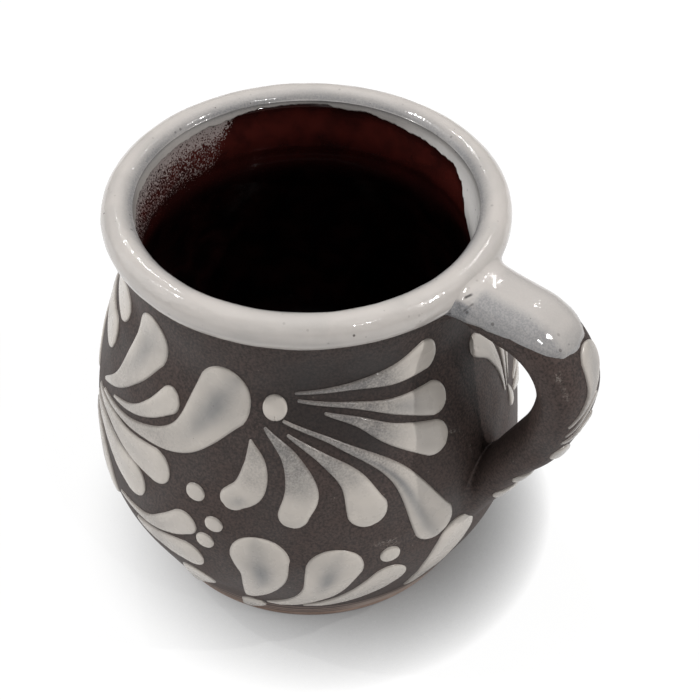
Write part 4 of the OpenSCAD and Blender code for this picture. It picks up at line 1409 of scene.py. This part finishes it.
# %% Strokes on the handle
stroke_table = [
    [[-0.35, 0.76, 0.02], [-0.19, 0.79, 0.04], [0.02, 0.842, 0.085], [0.165, 0.922, 0.215]],
    [[-0.35, 0.719, 0.015], [-0.22, 0.738, 0.03], [-0.06, 0.768, 0.04], [0.12, 0.812, 0.05]],
    [[-0.36, 0.688, 0.02], [-0.24, 0.69, 0.04], [-0.08, 0.7, 0.055], [0.12, 0.725, 0.06]],
    [[0.14, 0.56, 0.02], [0.02, 0.58, 0.05], [-0.14, 0.604, 0.085], [-0.28, 0.626, 0.11]],
    [[0.14, 0.43, 0.02], [0, 0.436, 0.045], [-0.19, 0.452, 0.08], [-0.345, 0.468, 0.1]],
    [[0.12, 0.342, 0.02], [-0.02, 0.348, 0.05], [-0.19, 0.357, 0.095], [-0.32, 0.364, 0.13]],
]
tail_low = tail_p - tail_len * facing(math.pi / 2 - tail_lean)
span = arm_end.y - tail_low.y
strokes = [[Vector((x * handle_w, tail_low.y + y * span, w * handle_w)) for x, y, w in row]
           for row in stroke_table]
stroke_hollows = [(0.8, 0.35, 0.5, 0.6, 0.0, 0.8)] * len(strokes)
handle_petals = flat_sheets("handle_petals", strokes, stroke_hollows)
run_tree(handle_petals, land, {"Handle": handle_strap, "Slip Height": slip_t * MM, "Unevenness": 0.4,
                               "Seed": 10.0, "Finish": white_slip})
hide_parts("handle_strokes")
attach(handle_petals, "root")
print("handle strokes faces:", len(handle_petals.data.polygons))

# %% [markdown]
# The stage is a white table top in a bright room. The floor is white to the camera and keeps a soft
# shadow near the foot: it asks how much of the room a spot can see, leaning to the lit side. A plain
# matte floor would grey towards its edges, and the room here has none.

# %% Floor
floor_half, floor_drop = 6, 0.0002
shade_reach, shade_power, floor_glow = 0.018, 1.4, 0.9
floor_mesh = bpy.data.meshes.new("floor")
corners = [(x * floor_half, y * floor_half, 0) for x, y in ((-1, -1), (1, -1), (1, 1), (-1, 1))]
floor_mesh.from_pydata(corners, [], [(0, 1, 2, 3)])
floor = bpy.data.objects.new("floor", floor_mesh)
floor.location.z = -floor_drop
bpy.context.scene.collection.objects.link(floor)
floor_finish = bpy.data.materials.new("table top")
floor_finish.use_nodes = True
tree = floor_finish.node_tree
tree.nodes.clear()
matte = place(tree, "ShaderNodeBsdfDiffuse", Color=(0.82, 0.82, 0.82, 1))
bright = place(tree, "ShaderNodeBsdfDiffuse", Color=(0.15, 0.15, 0.15, 1))
lean = place(tree, "ShaderNodeCombineXYZ", X=-0.55, Y=-0.33, Z=0.77)
near = place(tree, "ShaderNodeAmbientOcclusion", {"samples": 16}, Distance=shade_reach, Normal=lean.outputs[0])
open_sky = times(tree, math_node(tree, "POWER", near.outputs["AO"], shade_power), floor_glow)
glow = place(tree, "ShaderNodeEmission", Color=(1, 1, 1, 1), Strength=open_sky)
path = tree.nodes.new("ShaderNodeLightPath")
seen = math_node(tree, "MAXIMUM", path.outputs["Is Camera Ray"], path.outputs["Is Glossy Ray"])
both = place(tree, "ShaderNodeAddShader", i0=bright.outputs[0], i1=glow.outputs[0])
mixed = place(tree, "ShaderNodeMixShader", i0=seen, i1=matte.outputs[0], i2=both.outputs[0])
place(tree, "ShaderNodeOutputMaterial", Surface=mixed.outputs[0])
floor.data.materials.append(floor_finish)
print("floor is wide, in metres:", 2 * floor_half)

# %% [markdown]
# The room is white where the camera looks past the floor, and dim where the mug looks at it, so that
# the lamps do the lighting and the glaze does not reflect a blank white box.

# %% World
world = bpy.data.worlds.new("room")
bpy.context.scene.world = world
world.use_nodes = True
tree = world.node_tree
tree.nodes.clear()
path = tree.nodes.new("ShaderNodeLightPath")
room = place(tree, "ShaderNodeBackground", Color=(1.0, 0.985, 0.97, 1), Strength=0.1)
white = place(tree, "ShaderNodeBackground", Color=(1, 1, 1, 1), Strength=1.0)
shown = place(tree, "ShaderNodeMixShader", i0=path.outputs["Is Camera Ray"], i1=room.outputs[0],
              i2=white.outputs[0])
place(tree, "ShaderNodeOutputWorld", Surface=shown.outputs[0])
print("room light:", round(room.inputs["Strength"].default_value, 2))

# %% [markdown]
# Small lamps give the glints on the rim and throw the handle's shadow on the belly; wide ones fill the
# rest. Each is placed by an angle round the mug and a height angle, which is how one walks round a pot.

# %% Lamps


def lamp(name, az, el, away, size, power, tint_rgb=(1, 1, 1)):
    """Square lamp at an angle round the mug and a height angle, in degrees, aimed at the mug's middle."""
    data = bpy.data.lights.new(name, "AREA")
    data.shape = "RECTANGLE"
    data.size = data.size_y = size
    data.energy = power
    data.color = tint_rgb
    obj = bpy.data.objects.new(name, data)
    a, e = math.radians(az), math.radians(el)
    toward = Vector((math.cos(a) * math.cos(e), math.sin(a) * math.cos(e), math.sin(e)))
    obj.location = Vector((0, 0, mug_middle)) + toward * away
    obj.rotation_euler = toward.to_track_quat("Z", "Y").to_euler()
    bpy.context.scene.collection.objects.link(obj)


mug_middle, small, wide_lamp = 0.045, 0.016, 0.8
lamp("handle_side_lamp", 27, 47, 1.0, small, 3.7, (1.0, 0.985, 0.97))
lamp("left_lamp", -152, 54, 1.0, small, 2.6)
lamp("left_soft_lamp", -150, 30, 1.0, wide_lamp, 2.1)
lamp("front_soft_lamp", -85, 28, 1.0, wide_lamp, 0.85)
lamp("front_lamp", -18, 52, 1.1, 0.02, 1.5)
lamp("back_lamp", 92, 47, 1.0, small, 0.35)
lamp("far_lamp", 148, 48, 1.0, small, 0.9)
lamp("ceiling_lamp", 90, 80, 1.0, 0.9, 1.6)
